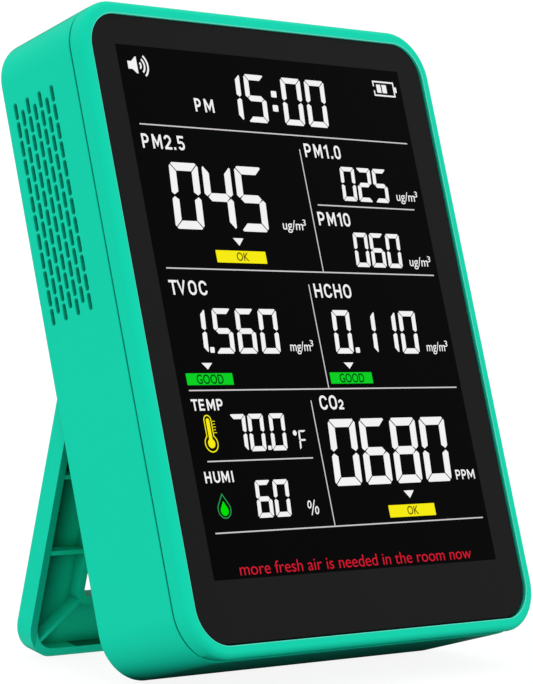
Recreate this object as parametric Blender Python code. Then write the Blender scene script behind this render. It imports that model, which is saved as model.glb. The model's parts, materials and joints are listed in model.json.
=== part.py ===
"""Desktop air quality monitor: a flat rectangular instrument leaning back on a fold-out stand.

Pieces are designed in the case's own frame, in millimetres: x to the viewer's right, y backwards
from the plane of the front ring, z up along the case, origin at the middle of the front. The empty
case_frame leans the case back, so that its rear bottom edge and the foot of the stand touch z = 0.
The stand has a frame of its own, stand_pivot: origin on the pivot line, y out of the stand's outer
face, and the leg running down towards -z.

A solid is a list of rings of (x, y, z) points, skinned in order and capped at both ends.
"""

import bpy
import bmesh
import math
from mathutils import Vector

MM = 0.001
SIDES = (-1, 1)          # the viewer's left, then right

# ---------------------------------------------------------------- driving dimensions, mm
CASE_W, CASE_H, CASE_D = 115.7, 150.0, 30.0
CORNER_R = 11.6          # corner radius of the outline
FRONT_FILLET = 1.46
REAR_FILLET = 1.0
DRAFT = 0.64             # taper of the rear shell, per side
SPLIT_Y = 4.4            # parting line between ring and rear shell
SPLIT_GAP = 0.4
WALL = 1.8

OPEN_W, OPEN_H, OPEN_R = 109.94, 144.68, 8.8   # opening in the front ring

LCD_X = 48.4             # half width
LCD_BOTTOM, LCD_TOP = -59.3, 66.1
FRAME_BORDER = 1.8       # display frame beyond the LCD, per side

STAND_X = 55.2           # half width
STAND_T = 4.85
STAND_OUT = 2.42         # pivot to outer face
STAND_IN = STAND_OUT - STAND_T
STAND_LEN = 63.74        # pivot to foot
STAND_R = 8.0            # foot corners
FOOT_CHAMFER = 0.35
PIVOT_Y, PIVOT_Z = CASE_D - STAND_OUT, -7.30
OPEN_ANGLE = math.radians(30.0)
RECESS_FLOOR = 24.8
LUG_X, LUG_HALF = 46.0, 2.0
PIN_R = 1.0

TOP_SCREW = (52.6, 65.9)             # (x, z), mirrored in x
LOW_SCREW = (48.5, -64.9)
TOP_SEAT, LOW_SEAT = 27.2, 21.6      # floors of the head counterbores
HEAD_GAP = 0.1                       # under every screw head

BOARD_FRONT, BOARD_BACK = 12.0, 13.6
PART_Y = BOARD_BACK + 0.1            # where parts on the main board start
BOARD_POSTS = [(x, z) for z in (-50.0, 59.2) for x in (-41.0, 41.0)]

BUTTONS = ("power", "set", "up", "down")
BUTTON_X0, BUTTON_PITCH = 27.0, 18.0   # the first button, then towards -x
BUTTON_Z = 63.5
BUTTON_PLACES = [(label, BUTTON_X0 - i * BUTTON_PITCH) for i, label in enumerate(BUTTONS)]
BUTTON_BOARD_SCREW = (35.0, 66.2)    # (x, z), mirrored in x

USB_Y, USB_Z = 15.4, -43.0
FAN_X, FAN_Z = -28.6, 44.0

for old in list(bpy.data.objects):
    bpy.data.objects.remove(old, do_unlink=True)


# ---------------------------------------------------------------- outlines
def arc(cx, cy, r, start, end, n):
    """n + 1 points from start to end, in degrees."""
    angles = [math.radians(start + (end - start) * k / n) for k in range(n + 1)]
    return [(cx + r * math.cos(a), cy + r * math.sin(a)) for a in angles]


def circle(cx, cy, r, n):
    return arc(cx, cy, r, 0, 360, n)[:-1]


def rounded_rect(w, h, r, cx=0.0, cz=0.0, n=5, square=()):
    """Corners anticlockwise from +x +z. Those numbered in square get a tiny arc of n + 1 points."""
    points = []
    for corner, (sx, sz) in enumerate(((1, 1), (-1, 1), (-1, -1), (1, -1))):
        radius = 0.02 if corner in square else r
        ox, oz = cx + sx * (w / 2 - radius), cz + sz * (h / 2 - radius)
        points += arc(ox, oz, radius, 90 * corner, 90 * corner + 90, n)
    return points


def span_rect(half_x, z0, z1, r, n=5, square=()):
    """A rounded rectangle centred on x = 0, between two heights."""
    return rounded_rect(2 * half_x, z1 - z0, r, cz=(z0 + z1) / 2, n=n, square=square)


def case_section(inset):
    return rounded_rect(CASE_W - 2 * inset, CASE_H - 2 * inset, CORNER_R - inset)


def opening_section(inset):
    return rounded_rect(OPEN_W - 2 * inset, OPEN_H - 2 * inset, OPEN_R - inset)


def lcd_rect(grow=0.0, r=0.4):
    return span_rect(LCD_X + grow, LCD_BOTTOM - grow, LCD_TOP + grow, r, n=2)


def usb_outline(r, half):
    """A slot with round ends, as (y, z): half is from its middle to the centre of each end."""
    return (arc(USB_Y, USB_Z - half, r, -180, 0, 4)
            + arc(USB_Y, USB_Z + half, r, 0, 180, 4))


def bezier(p0, p1, p2, p3, n=8):
    points = []
    for i in range(n + 1):
        t = i / n
        s = 1 - t
        points.append(tuple(s ** 3 * a + 3 * t * s * s * b + 3 * t * t * s * c + t ** 3 * d
                            for a, b, c, d in zip(p0, p1, p2, p3)))
    return points


# ---------------------------------------------------------------- solids
def loft(*sections):
    """Sections are (y, [(x, z), ...]) with equal counts."""
    return [[(x, y, z) for x, z in outline] for y, outline in sections]


def plate(outline, y0, y1):
    return loft((y0, outline), (y1, outline))


def box(x0, x1, y0, y1, z0, z1):
    return plate([(x0, z0), (x1, z0), (x1, z1), (x0, z1)], y0, y1)


def rod_y(x, z, profile, n=16):
    """Turned about a line along y: profile is (y, radius) pairs."""
    return loft(*((y, circle(x, z, r, n)) for y, r in profile))


def rod_pair(place, profile, n):
    return [rod_y(side * place[0], place[1], profile, n) for side in SIDES]


def rod_x(y, z, profile, n=16):
    """Turned about a line along x: profile is (x, radius) pairs."""
    return [[(x, v, w) for v, w in circle(y, z, r, n)] for x, r in profile]


def prism_x(outline, x0, x1):
    """outline is (y, z) pairs, extruded along x."""
    return [[(x, y, z) for y, z in outline] for x in (x0, x1)]


def path_steps(path):
    """Each point of a path with the direction through its neighbours."""
    for i, point in enumerate(path):
        before, after = path[max(i - 1, 0)], path[min(i + 1, len(path) - 1)]
        yield Vector(point), (Vector(after) - Vector(before)).normalized()


def tube(path, r, n=8):
    """A round wire along (x, y, z) points."""
    rings = []
    for point, along in path_steps(path):
        side = along.cross(Vector((0, 1, 0.2))).normalized()
        up = side.cross(along)
        rings.append([point + u * side + v * up for u, v in circle(0, 0, r, n)])
    return rings


def strip(path, x0, x1, thickness):
    """A flat ribbon along (y, z) points, widened along x."""
    upper, lower = [], []
    for point, along in path_steps(path):
        offset = Vector((-along.y, along.x)) * thickness / 2
        upper.append(tuple(point + offset))
        lower.append(tuple(point - offset))
    return prism_x(upper + lower[::-1], x0, x1)


# ---------------------------------------------------------------- how the object stands
# The fillets in section, as (y, inset from the case outline), front to back.
FRONT_EDGE = arc(FRONT_FILLET, FRONT_FILLET, FRONT_FILLET, 180, 270, 4)
REAR_EDGE = arc(CASE_D - REAR_FILLET, DRAFT + REAR_FILLET, REAR_FILLET, -90, 0, 4)
ROUGH_LEAN = 0.36        # radians, near enough to pick which foot corner is lowest


def leg_point(along, out):
    """A point of the open stand, down the leg from the pivot and outwards, as case (y, z)."""
    c, s = math.cos(OPEN_ANGLE), math.sin(OPEN_ANGLE)
    return PIVOT_Y + out * c + along * s, PIVOT_Z + out * s - along * c


def leant(y, z, lean):
    """(y, z) of the case's frame turned to the world, before the shift."""
    return y * math.cos(lean) + z * math.sin(lean), -y * math.sin(lean) + z * math.cos(lean)


FOOT = min((leg_point(STAND_LEN - FOOT_CHAMFER, STAND_IN),
            leg_point(STAND_LEN, STAND_IN + FOOT_CHAMFER)),
           key=lambda p: leant(*p, ROUGH_LEAN)[1])


def lean_on(point):
    """The lean that puts the foot and this point at one height."""
    return math.atan2(FOOT[1] - point[1], FOOT[0] - point[0])


CONTACT = max(((y, inset - CASE_H / 2) for y, inset in REAR_EDGE), key=lean_on)
LEAN = lean_on(CONTACT)
FLOOR_Z = leant(*CONTACT, LEAN)[1]
FRONT_Y = min(leant(y, inset - CASE_H / 2, LEAN)[0] for y, inset in FRONT_EDGE)
BACK_Y = max(leant(y, CASE_H / 2 - inset, LEAN)[0] for y, inset in REAR_EDGE)


def frame(name, location, angle, parent=None):
    """An empty placed in mm and turned about x."""
    empty = bpy.data.objects.new(name, None)
    bpy.context.scene.collection.objects.link(empty)
    empty.parent = parent
    empty.location = Vector(location) * MM
    empty.rotation_euler = (angle, 0, 0)
    return empty


case_frame = frame("case_frame", (0, -(FRONT_Y + BACK_Y) / 2, -FLOOR_Z), -LEAN)
stand_frame = frame("stand_pivot", (0, PIVOT_Y, PIVOT_Z), OPEN_ANGLE, case_frame)


# ---------------------------------------------------------------- objects
def skin(bm, rings):
    rings = [[bm.verts.new(point) for point in ring] for ring in rings]
    for low, high in zip(rings, rings[1:]):
        for i in range(len(low)):
            j = (i + 1) % len(low)
            bm.faces.new((low[i], low[j], high[j], high[i]))
    bm.faces.new(rings[0])
    bm.faces.new(rings[-1][::-1])


def make(name, mat, *solids, parent=case_frame, origin=(0, 0, 0), smooth=False):
    """One object from solids in mm in the parent's frame; its own origin goes to origin."""
    bm = bmesh.new()
    for rings in solids:
        skin(bm, rings)
    bmesh.ops.translate(bm, verts=bm.verts, vec=-Vector(origin))
    bmesh.ops.scale(bm, verts=bm.verts, vec=(MM, MM, MM))
    bmesh.ops.recalc_face_normals(bm, faces=bm.faces)
    mesh = bpy.data.meshes.new(name)
    bm.to_mesh(mesh)
    bm.free()
    obj = bpy.data.objects.new(name, mesh)
    bpy.context.scene.collection.objects.link(obj)
    obj.parent = parent
    obj.location = Vector(origin) * MM
    if mat:
        mesh.materials.append(mat)
    if smooth:
        mesh.shade_smooth()
        mesh.set_sharp_from_angle(angle=math.radians(35))
    return obj


def boolean(target, name, operation, solids):
    helper = make(name, None, *solids, parent=target.parent)
    helper.hide_render = True
    helper.display_type = "WIRE"
    modifier = target.modifiers.new(name, "BOOLEAN")
    modifier.operation = operation
    modifier.object = helper
    modifier.solver = "EXACT"


def cut(target, name, *solids):
    boolean(target, "cut_" + name, "DIFFERENCE", solids)


def join(target, name, *solids):
    boolean(target, "join_" + name, "UNION", solids)


# ---------------------------------------------------------------- materials
def linear(value):
    """An 8-bit sRGB channel as linear light."""
    c = value / 255
    return c / 12.92 if c <= 0.04045 else ((c + 0.055) / 1.055) ** 2.4


def material(name, rgb, roughness, metallic=0.0):
    mat = bpy.data.materials.new(name)
    mat.use_nodes = True
    inputs = mat.node_tree.nodes["Principled BSDF"].inputs
    inputs["Base Color"].default_value = (*map(linear, rgb), 1.0)
    inputs["Roughness"].default_value = roughness
    inputs["Metallic"].default_value = metallic
    return mat


shell_mat = material("moulded_shell", rgb=(28, 210, 172), roughness=0.38)
panel_mat = material("smoked_window", rgb=(26, 26, 26), roughness=0.12)
foam_mat = material("black_foam", rgb=(22, 22, 22), roughness=0.9)
glass_mat = material("display_glass", rgb=(10, 10, 12), roughness=0.08)
backlight_mat = material("light_guide", rgb=(235, 238, 240), roughness=0.35)
frame_mat = material("frame_plastic", rgb=(45, 47, 50), roughness=0.5)
film_mat = material("flex_film", rgb=(196, 120, 30), roughness=0.35)
board_mat = material("circuit_board", rgb=(18, 84, 44), roughness=0.45)
chip_mat = material("chip_package", rgb=(28, 28, 30), roughness=0.55)
steel_mat = material("plated_steel", rgb=(190, 192, 196), roughness=0.28, metallic=1.0)
button_mat = material("button_plastic", rgb=(236, 240, 240), roughness=0.4)
white_mat = material("white_plastic", rgb=(226, 226, 220), roughness=0.45)
pouch_mat = material("battery_foil", rgb=(176, 180, 186), roughness=0.3, metallic=0.8)
red_mat = material("red_wire", rgb=(196, 30, 28), roughness=0.4)
black_mat = material("black_wire", rgb=(20, 20, 20), roughness=0.4)
sensor_mat = material("sensor_black", rgb=(34, 36, 40), roughness=0.5)
gold_mat = material("sensor_gold", rgb=(206, 170, 90), roughness=0.3, metallic=1.0)

# ---------------------------------------------------------------- front ring
RING_BACK = SPLIT_Y - SPLIT_GAP / 2
SKIRT_BACK = 6.6                     # skirt that reaches into the rear shell
SKIRT_OUTER, SKIRT_INNER = 2.1, 3.6  # insets from the case outline
LEDGE_FRONT, LEDGE_BACK = 2.85, 4.2
LEDGE_GAP = 0.3                      # around the display frame
# Posts and their screw pilots, as (y, radius).
TOP_POST, TOP_PILOT = ((3.5, 2.1), (22.0, 2.1)), ((10.5, 1.1), (23.0, 1.1))
LOW_POST, LOW_PILOT = ((3.5, 2.6), (16.7, 2.6)), ((5.5, 1.1), (18.0, 1.1))

front_bezel = make("front_bezel", shell_mat, loft(
    *((y, case_section(inset)) for y, inset in FRONT_EDGE),
    (RING_BACK, case_section(0.0)),
    (RING_BACK, case_section(SKIRT_OUTER)),
    (SKIRT_BACK, case_section(SKIRT_OUTER))), smooth=True)
cut(front_bezel, "opening", plate(opening_section(0.0), -1.0, LEDGE_FRONT))
cut(front_bezel, "ledge", plate(lcd_rect(FRAME_BORDER + LEDGE_GAP, 0.6), 1.5, 8.0))
cut(front_bezel, "skirt", plate(case_section(SKIRT_INNER), LEDGE_BACK, 8.0))
join(front_bezel, "posts", *rod_pair(TOP_SCREW, TOP_POST, 12), *rod_pair(LOW_SCREW, LOW_POST, 12))
cut(front_bezel, "pilots", *rod_pair(TOP_SCREW, TOP_PILOT, 8), *rod_pair(LOW_SCREW, LOW_PILOT, 8))

# ---------------------------------------------------------------- rear shell
CAVITY_BACK = 23.0
UPPER_FRONT, UPPER_BACK = 18.0, 28.0   # deeper cavity above the stand recess
UPPER_BOTTOM = -2.0
STAND_GAP = 0.4                      # between stand and recess, at the sides
RECESS_TOP, RECESS_BOTTOM = -3.8, -71.5
LUG_R = 2.1
LUG_BORE_R = PIN_R + 0.08
# Screw bosses and holes, as (y, radius).
TOP_BOSS, LOW_BOSS = ((22.4, 3.0), (28.3, 3.0)), ((17.0, 3.1), (23.3, 3.1))
BUTTON_BOARD_BOSS, BUTTON_BOARD_PILOT = ((23.9, 2.0), (28.3, 2.0)), ((23.0, 0.95), (27.4, 0.95))
TOP_HOLE = ((21.0, 1.25), (TOP_SEAT, 1.25), (TOP_SEAT, 2.3), (31.0, 2.3))
LOW_HOLE = ((16.0, 1.25), (LOW_SEAT, 1.25), (LOW_SEAT, 2.3), (26.0, 2.3))
BUTTON_HOLE = ((26.0, 3.9), (31.0, 3.9))
# Side vents: staggered columns of pointed slots.
VENT_Y0, VENT_PITCH_Y, VENT_COLS = 12.9, 2.19, 7
VENT_TOP, VENT_PITCH_Z, VENT_ROWS = 58.44, 4.395, 12
VENT_LEN, VENT_W, VENT_POINT = 3.9, 1.2, 0.45
VENT_X = (53.5, 59.0)


def draft_at(y):
    return DRAFT * (y - SPLIT_Y) / (CASE_D - REAR_FILLET - SPLIT_Y)


def upper_cavity():
    inset = WALL + draft_at(UPPER_BACK)
    outline = span_rect(CASE_W / 2 - inset, UPPER_BOTTOM, CASE_H / 2 - inset, CORNER_R - inset,
                        square=(2, 3))
    return plate(outline, UPPER_FRONT, UPPER_BACK)


def lugs():
    root = RECESS_FLOOR - 1.0
    outline = [(root, PIVOT_Z - LUG_R), *arc(PIVOT_Y, PIVOT_Z, LUG_R, -90, 90, 8),
               (root, PIVOT_Z + LUG_R)]
    return [prism_x(outline, side * (LUG_X - LUG_HALF), side * (LUG_X + LUG_HALF))
            for side in SIDES]


def lug_bores():
    reach = LUG_HALF + 1
    return [rod_x(PIVOT_Y, PIVOT_Z, [(side * (LUG_X + end * reach), LUG_BORE_R)
                                     for end in (-1, 1)], 20) for side in SIDES]


def vent_slots():
    slots = []
    half_w, half_len = VENT_W / 2, VENT_LEN / 2
    shoulder = half_len - VENT_POINT
    for side in SIDES:
        for col in range(VENT_COLS):
            y = VENT_Y0 + col * VENT_PITCH_Y
            odd = col % 2
            for row in range(VENT_ROWS - odd):
                z = VENT_TOP - half_len - (row + odd / 2) * VENT_PITCH_Z
                outline = [(y - half_w, z - shoulder), (y, z - half_len),
                           (y + half_w, z - shoulder), (y + half_w, z + shoulder),
                           (y, z + half_len), (y - half_w, z + shoulder)]
                slots.append(prism_x(outline, side * VENT_X[0], side * VENT_X[1]))
    return slots


rear_shell = make("rear_shell", shell_mat, loft(
    (SPLIT_Y + SPLIT_GAP / 2, case_section(0.0)),
    *((y, case_section(inset)) for y, inset in REAR_EDGE)), smooth=True)
cut(rear_shell, "cavity", loft(
    (3.0, case_section(WALL)),
    (CAVITY_BACK, case_section(WALL + draft_at(CAVITY_BACK)))))
cut(rear_shell, "upper_cavity", upper_cavity())
join(rear_shell, "bosses",
     *rod_pair(TOP_SCREW, TOP_BOSS, 12),
     *rod_pair(LOW_SCREW, LOW_BOSS, 12),
     *rod_pair(BUTTON_BOARD_SCREW, BUTTON_BOARD_BOSS, 10))
cut(rear_shell, "stand_recess", plate(
    span_rect(STAND_X + STAND_GAP, RECESS_BOTTOM, RECESS_TOP, STAND_R + STAND_GAP, square=(0, 1)),
    RECESS_FLOOR, 32.0))
join(rear_shell, "lugs", *lugs())
cut(rear_shell, "lug_bores", *lug_bores())
cut(rear_shell, "screw_holes",
    *rod_pair(TOP_SCREW, TOP_HOLE, 16),
    *rod_pair(LOW_SCREW, LOW_HOLE, 16),
    *rod_pair(BUTTON_BOARD_SCREW, BUTTON_BOARD_PILOT, 8))
cut(rear_shell, "button_holes", *(rod_y(x, BUTTON_Z, BUTTON_HOLE, 24) for _, x in BUTTON_PLACES))
cut(rear_shell, "vents", *vent_slots())
cut(rear_shell, "usb", prism_x(usb_outline(1.9, 3.1), 53.0, 60.0))

# ---------------------------------------------------------------- window and its gasket
PANEL_FRONT, PANEL_BACK = 0.57, 2.07
PANEL_GAP, PANEL_CHAMFER = 0.25, 0.15
GASKET_FRONT, GASKET_BACK = 2.2, 2.7

make("window_panel", panel_mat, loft(
    (PANEL_FRONT, opening_section(PANEL_GAP + PANEL_CHAMFER)),
    (PANEL_FRONT + PANEL_CHAMFER, opening_section(PANEL_GAP)),
    (PANEL_BACK, opening_section(PANEL_GAP))), smooth=True)

gasket = make("window_gasket", foam_mat, plate(opening_section(0.5), GASKET_FRONT, GASKET_BACK))
cut(gasket, "window_gasket", plate(
    lcd_rect(FRAME_BORDER + 0.6, 0.8), GASKET_FRONT - 1, GASKET_BACK + 1))

# ---------------------------------------------------------------- display
FRAME_POST, FRAME_PILOT = ((8.0, 2.2), (11.8, 2.2)), ((9.3, 0.95), (13.0, 0.95))   # (y, radius)
TAB_X = (49.6, 53.9)                 # tabs on the frame's sides
TAB_BOTTOMS, TAB_LEN = (-34.0, 20.0), 14.0
# (y, z), from the back of the LCD down to the connector on the board's front face
DISPLAY_CABLE = [
    (7.3, -20.0),
    *bezier((7.3, -26.0), (7.3, -36.0), (10.4, -30.0), (10.4, -39.5)),
    (10.4, -43.5)]

make("lcd_glass", glass_mat, plate(lcd_rect(), 2.4, 4.1))
make("lcd_backlight", backlight_mat, plate(lcd_rect(), 4.3, 6.9))

lcd_frame = make("lcd_frame", frame_mat, plate(lcd_rect(FRAME_BORDER, 0.6), 3.0, 8.6))
cut(lcd_frame, "frame_well", plate(lcd_rect(0.2), 2.0, 7.1))
cut(lcd_frame, "frame_window", box(-37.0, 37.0, 6.0, 10.0, -46.0, 52.0))
join(lcd_frame, "frame_posts",
     *(rod_y(x, z, FRAME_POST, 12) for x, z in BOARD_POSTS),
     *(box(side * TAB_X[0], side * TAB_X[1], 4.5, 6.0, z, z + TAB_LEN)
       for side in SIDES for z in TAB_BOTTOMS))
cut(lcd_frame, "frame_pilots", *(rod_y(x, z, FRAME_PILOT, 8) for x, z in BOARD_POSTS))

make("display_cable", film_mat, strip(DISPLAY_CABLE, -11.0, 11.0, thickness=0.2))
make("display_connector", white_mat, box(-13.0, 13.0, 10.7, 11.85, -44.5, -40.0))

# ---------------------------------------------------------------- main board
main_board = make("main_board", board_mat, box(-46.5, 46.5, BOARD_FRONT, BOARD_BACK, -57.0, 61.5))
join(main_board, "usb_tab", box(40.0, 54.0, BOARD_FRONT, BOARD_BACK, USB_Z - 8.0, USB_Z + 8.0))
cut(main_board, "board_holes", *(rod_y(x, z, ((11.0, 1.2), (15.0, 1.2)), 10)
                                 for x, z in BOARD_POSTS))

# ---------------------------------------------------------------- screws
CROSS_ARM, CROSS_HALF, CROSS_DEPTH = 0.95, 0.2, 0.7
TIP_LEN = 0.6


def screw(name, x, z, under_head, tip, up=1, head_r=2.0, head_h=1.4, shank_r=0.85):
    """A pan head screw along y with a cross slot. up is +1 when the head faces +y."""
    top = under_head + up * head_h
    profile = (
        (tip, shank_r * 0.6), (tip + up * TIP_LEN, shank_r), (under_head, shank_r),
        (under_head, head_r), (under_head + up * head_h * 0.6, head_r), (top, head_r * 0.72))
    obj = make(name, steel_mat, rod_y(x, z, profile[::up], 12), smooth=True)
    a, h = CROSS_ARM, CROSS_HALF
    cross = ((a, h), (h, h), (h, a), (-h, a), (-h, h), (-a, h),
             (-a, -h), (-h, -h), (-h, -a), (h, -a), (h, -h), (a, -h))
    outline = [(x + dx, z + dz) for dx, dz in cross]
    cut(obj, name, plate(outline, top - up * CROSS_DEPTH, top + up))


for row, ((x, z), seat, tip) in enumerate(((TOP_SCREW, TOP_SEAT, 12.0), (LOW_SCREW, LOW_SEAT, 7.0))):
    for number, side in enumerate(SIDES, 2 * row + 1):
        screw("case_screw_%d" % number, side * x, z, seat + HEAD_GAP, tip)
for number, (x, z) in enumerate(BOARD_POSTS, 1):
    screw("board_screw_%d" % number, x, z, BOARD_BACK + HEAD_GAP, 9.6,
          head_r=1.8, head_h=1.1, shank_r=0.8)

# ---------------------------------------------------------------- parts on the main board
CHIPS = (  # name, x, z, width, height, thickness, corner radius, material
    ("main_chip", 20.0, 2.0, 10.0, 10.0, 1.4, 0.3, chip_mat),
    ("display_driver_chip", 2.0, 2.0, 12.0, 8.0, 1.2, 0.3, chip_mat),
    ("charger_chip", 36.0, -34.0, 5.0, 4.0, 1.3, 0.3, chip_mat),
    ("clock_crystal", 31.0, -4.0, 3.2, 8.0, 2.2, 1.2, steel_mat),
    ("climate_sensor", 43.4, -12.0, 3.0, 3.0, 1.0, 0.3, white_mat),
)
TURNED_PARTS = (  # name, x, z, segments, material, profile as (y, radius)
    ("buzzer", -2.0, 22.0, 24, sensor_mat,
     ((PART_Y, 6.0), (20.6, 6.0), (21.6, 5.4), (21.6, 1.3), (18.0, 1.3))),
    ("tvoc_sensor", 10.0, 46.0, 24, gold_mat,
     ((PART_Y, 4.9), (14.6, 4.9), (14.6, 4.5), (20.0, 4.5), (20.8, 3.9), (20.8, 2.6),
      (20.2, 2.6))),
    ("formaldehyde_sensor", 30.0, 20.0, 32, white_mat,
     ((PART_Y, 10.0), (22.0, 10.0), (22.9, 9.3), (22.9, 6.0), (22.2, 6.0))),
)

for name, x, z, w, h, t, r, mat in CHIPS:
    side_outline = rounded_rect(w, h, r, x, z, n=1)
    top_outline = rounded_rect(w - 0.5, h - 0.5, r, x, z, n=1)
    make(name, mat, loft(
        (PART_Y, side_outline), (PART_Y + t * 0.7, side_outline), (PART_Y + t, top_outline)))

for name, x, z, segments, mat, profile in TURNED_PARTS:
    make(name, mat, rod_y(x, z, profile, segments), smooth=True)


def co2_rect(w, h, r):
    return rounded_rect(w, h, r, 29.0, 44.5, n=2)


co2_sensor = make("carbon_dioxide_sensor", gold_mat, loft(
    (BOARD_BACK + 0.2, co2_rect(20.0, 26.0, 1.0)),
    (21.6, co2_rect(20.0, 26.0, 1.0)),
    (22.6, co2_rect(18.4, 24.4, 0.8))))
cut(co2_sensor, "co2_window", plate(co2_rect(10.0, 14.0, 1.0), 22.1, 24.0))

# ---------------------------------------------------------------- battery
CELL_X, CELL_Z, CELL_W, CELL_H, CELL_R = -14.5, -34.0, 48.0, 36.0, 3.0
CELL_SECTIONS = ((14.3, 1.2), (15.3, 0.0), (20.9, 0.0), (21.9, 1.2))   # (y, inset)
PAD_W, PAD_H, PAD_T = 39.0, 24.0, 0.4
WIRE_R = 0.6
WIRES = (  # name, material, Bezier points
    ("battery_wire_red", red_mat,
     ((9.7, 18.0, -31.0), (12.0, 18.4, -30.5), (12.5, 16.5, -31.5), (14.8, 16.4, -31.2))),
    ("battery_wire_black", black_mat,
     ((9.7, 18.0, -34.0), (12.0, 18.4, -34.5), (12.5, 16.5, -34.5), (14.8, 16.4, -34.4))),
)

make("battery_pad", foam_mat, box(
    CELL_X - PAD_W / 2, CELL_X + PAD_W / 2, PART_Y, PART_Y + PAD_T,
    CELL_Z - PAD_H / 2, CELL_Z + PAD_H / 2))
make("battery_cell", pouch_mat, loft(*(
    (y, rounded_rect(CELL_W - 2 * i, CELL_H - 2 * i, CELL_R - i, CELL_X, CELL_Z, n=3))
    for y, i in CELL_SECTIONS)), smooth=True)
make("battery_connector", white_mat, box(15.0, 21.0, PART_Y, 18.3, -37.0, -29.0))
for name, mat, controls in WIRES:
    make(name, mat, tube(bezier(*controls), WIRE_R), smooth=True)

# ---------------------------------------------------------------- charging socket
USB_R, USB_HALF, USB_WALL = 1.5, 2.9, 0.3

usb_socket = make("usb_socket", steel_mat, prism_x(usb_outline(USB_R, USB_HALF), 48.6, 56.6))
cut(usb_socket, "usb_mouth", prism_x(usb_outline(USB_R - USB_WALL, USB_HALF), 50.0, 58.0))
join(usb_socket, "usb_tongue", box(
    49.0, 55.4, USB_Y - 0.35, USB_Y + 0.35, USB_Z - 3.0, USB_Z + 3.0))

# ---------------------------------------------------------------- particle sensor and its fan
SENSOR_X0, SENSOR_X1 = -52.8, -15.6
SENSOR_Z0, SENSOR_Z1 = 18.0, 57.0
SENSOR_WALL = 1.2
INLET_BOTTOMS, INLET_H = (24.0, 28.0, 32.0), 2.4
LASER_PROFILE = ((-34.0, 1.9), (-33.7, 2.2), (-25.3, 2.2), (-25.0, 1.9))   # (x, radius)
MOTOR_PROFILE = ((16.3, 4.6), (17.9, 4.6), (17.9, 0.75), (22.4, 0.75))     # (y, radius)
HUB_PROFILE = ((18.3, 4.6), (22.8, 4.6), (23.4, 4.0))                      # (y, radius)
BLADES = 7
BLADE_RADII = (4.0, 5.6, 7.2, 8.4)
BLADE_HALF, BLADE_SWEEP = 0.35, 0.9  # half thickness; sideways bend at the tip


def sensor_box(y0, y1, inset=0.0):
    return box(SENSOR_X0 + inset, SENSOR_X1 - inset, y0, y1, SENSOR_Z0 + inset, SENSOR_Z1 - inset)


def blades():
    root, tip = BLADE_RADII[0], BLADE_RADII[-1]
    near, far = ([(r, offset + BLADE_SWEEP * ((r - root) / (tip - root)) ** 2)
                  for r in BLADE_RADII] for offset in (-BLADE_HALF, BLADE_HALF))
    result = []
    for k in range(BLADES):
        c, s = math.cos(2 * math.pi * k / BLADES), math.sin(2 * math.pi * k / BLADES)
        outline = [(FAN_X + u * c - v * s, FAN_Z + u * s + v * c) for u, v in near + far[::-1]]
        result.append(plate(outline, 18.7, 22.6))
    return result


sensor_case = make("particle_sensor_case", sensor_mat, sensor_box(14.0, 25.0))
cut(sensor_case, "sensor_well", sensor_box(15.0, 27.0, SENSOR_WALL))
cut(sensor_case, "sensor_inlets", *(box(SENSOR_X0 - 1, SENSOR_X0 + 2, 17.5, 22.5, z, z + INLET_H)
                                    for z in INLET_BOTTOMS))
sensor_lid = make("particle_sensor_lid", sensor_mat, sensor_box(25.15, 26.3))
cut(sensor_lid, "lid_fan_hole", rod_y(FAN_X, FAN_Z, ((24.0, 8.0), (28.0, 8.0)), 24))
make("particle_sensor_board", board_mat, sensor_box(15.15, 16.15, SENSOR_WALL + 0.4))
make("particle_sensor_laser", gold_mat, rod_x(19.2, 25.0, LASER_PROFILE), smooth=True)
make("fan_motor", steel_mat, rod_y(FAN_X, FAN_Z, MOTOR_PROFILE, 20), smooth=True)
impeller = make("fan_impeller", sensor_mat, rod_y(FAN_X, FAN_Z, HUB_PROFILE, 20),
                origin=(FAN_X, 20.5, FAN_Z), smooth=True)
join(impeller, "blades", *blades())
cut(impeller, "impeller_bore", rod_y(FAN_X, FAN_Z, ((17.0, 0.82), (22.7, 0.82)), 20))

# ---------------------------------------------------------------- screens behind the vent slots
for side, label in zip(SIDES, ("left", "right")):
    make("vent_screen_" + label, shell_mat, box(side * 54.5, side * 55.1, 9.8, 27.3, 4.2, 60.4))

# ---------------------------------------------------------------- buttons
BUTTON_BOARD_FRONT, BUTTON_BOARD_BACK = 22.2, 23.7
BUTTON_CABLE = bezier((22.0, 60.0), (19.0, 60.0), (17.5, 57.0), (13.9, 57.6))   # (y, z)
# (y, radius)
SWITCH_RECESS = ((24.3, 1.8), (27.0, 1.8))
PLUNGER_PROFILE = ((24.9, 1.5), (26.3, 1.5), (26.5, 1.3))
BUTTON_PROFILE = ((26.65, 4.8), (27.7, 4.8), (27.7, 3.6), (30.5, 3.6), (30.9, 3.2))

button_board = make("button_board", board_mat, box(
    -38.0, 38.0, BUTTON_BOARD_FRONT, BUTTON_BOARD_BACK, BUTTON_Z - 5.1, BUTTON_Z + 5.1))
cut(button_board, "button_board", *rod_pair(BUTTON_BOARD_SCREW, ((21.0, 1.1), (25.0, 1.1)), 10))
for number, side in enumerate(SIDES, 1):
    screw("button_board_screw_%d" % number, side * BUTTON_BOARD_SCREW[0], BUTTON_BOARD_SCREW[1],
          BUTTON_BOARD_FRONT - HEAD_GAP, 27.0, up=-1, head_r=1.7, head_h=1.0, shank_r=0.75)
make("button_cable", film_mat, strip(BUTTON_CABLE, 14.0, 17.0, thickness=0.25))

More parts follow.
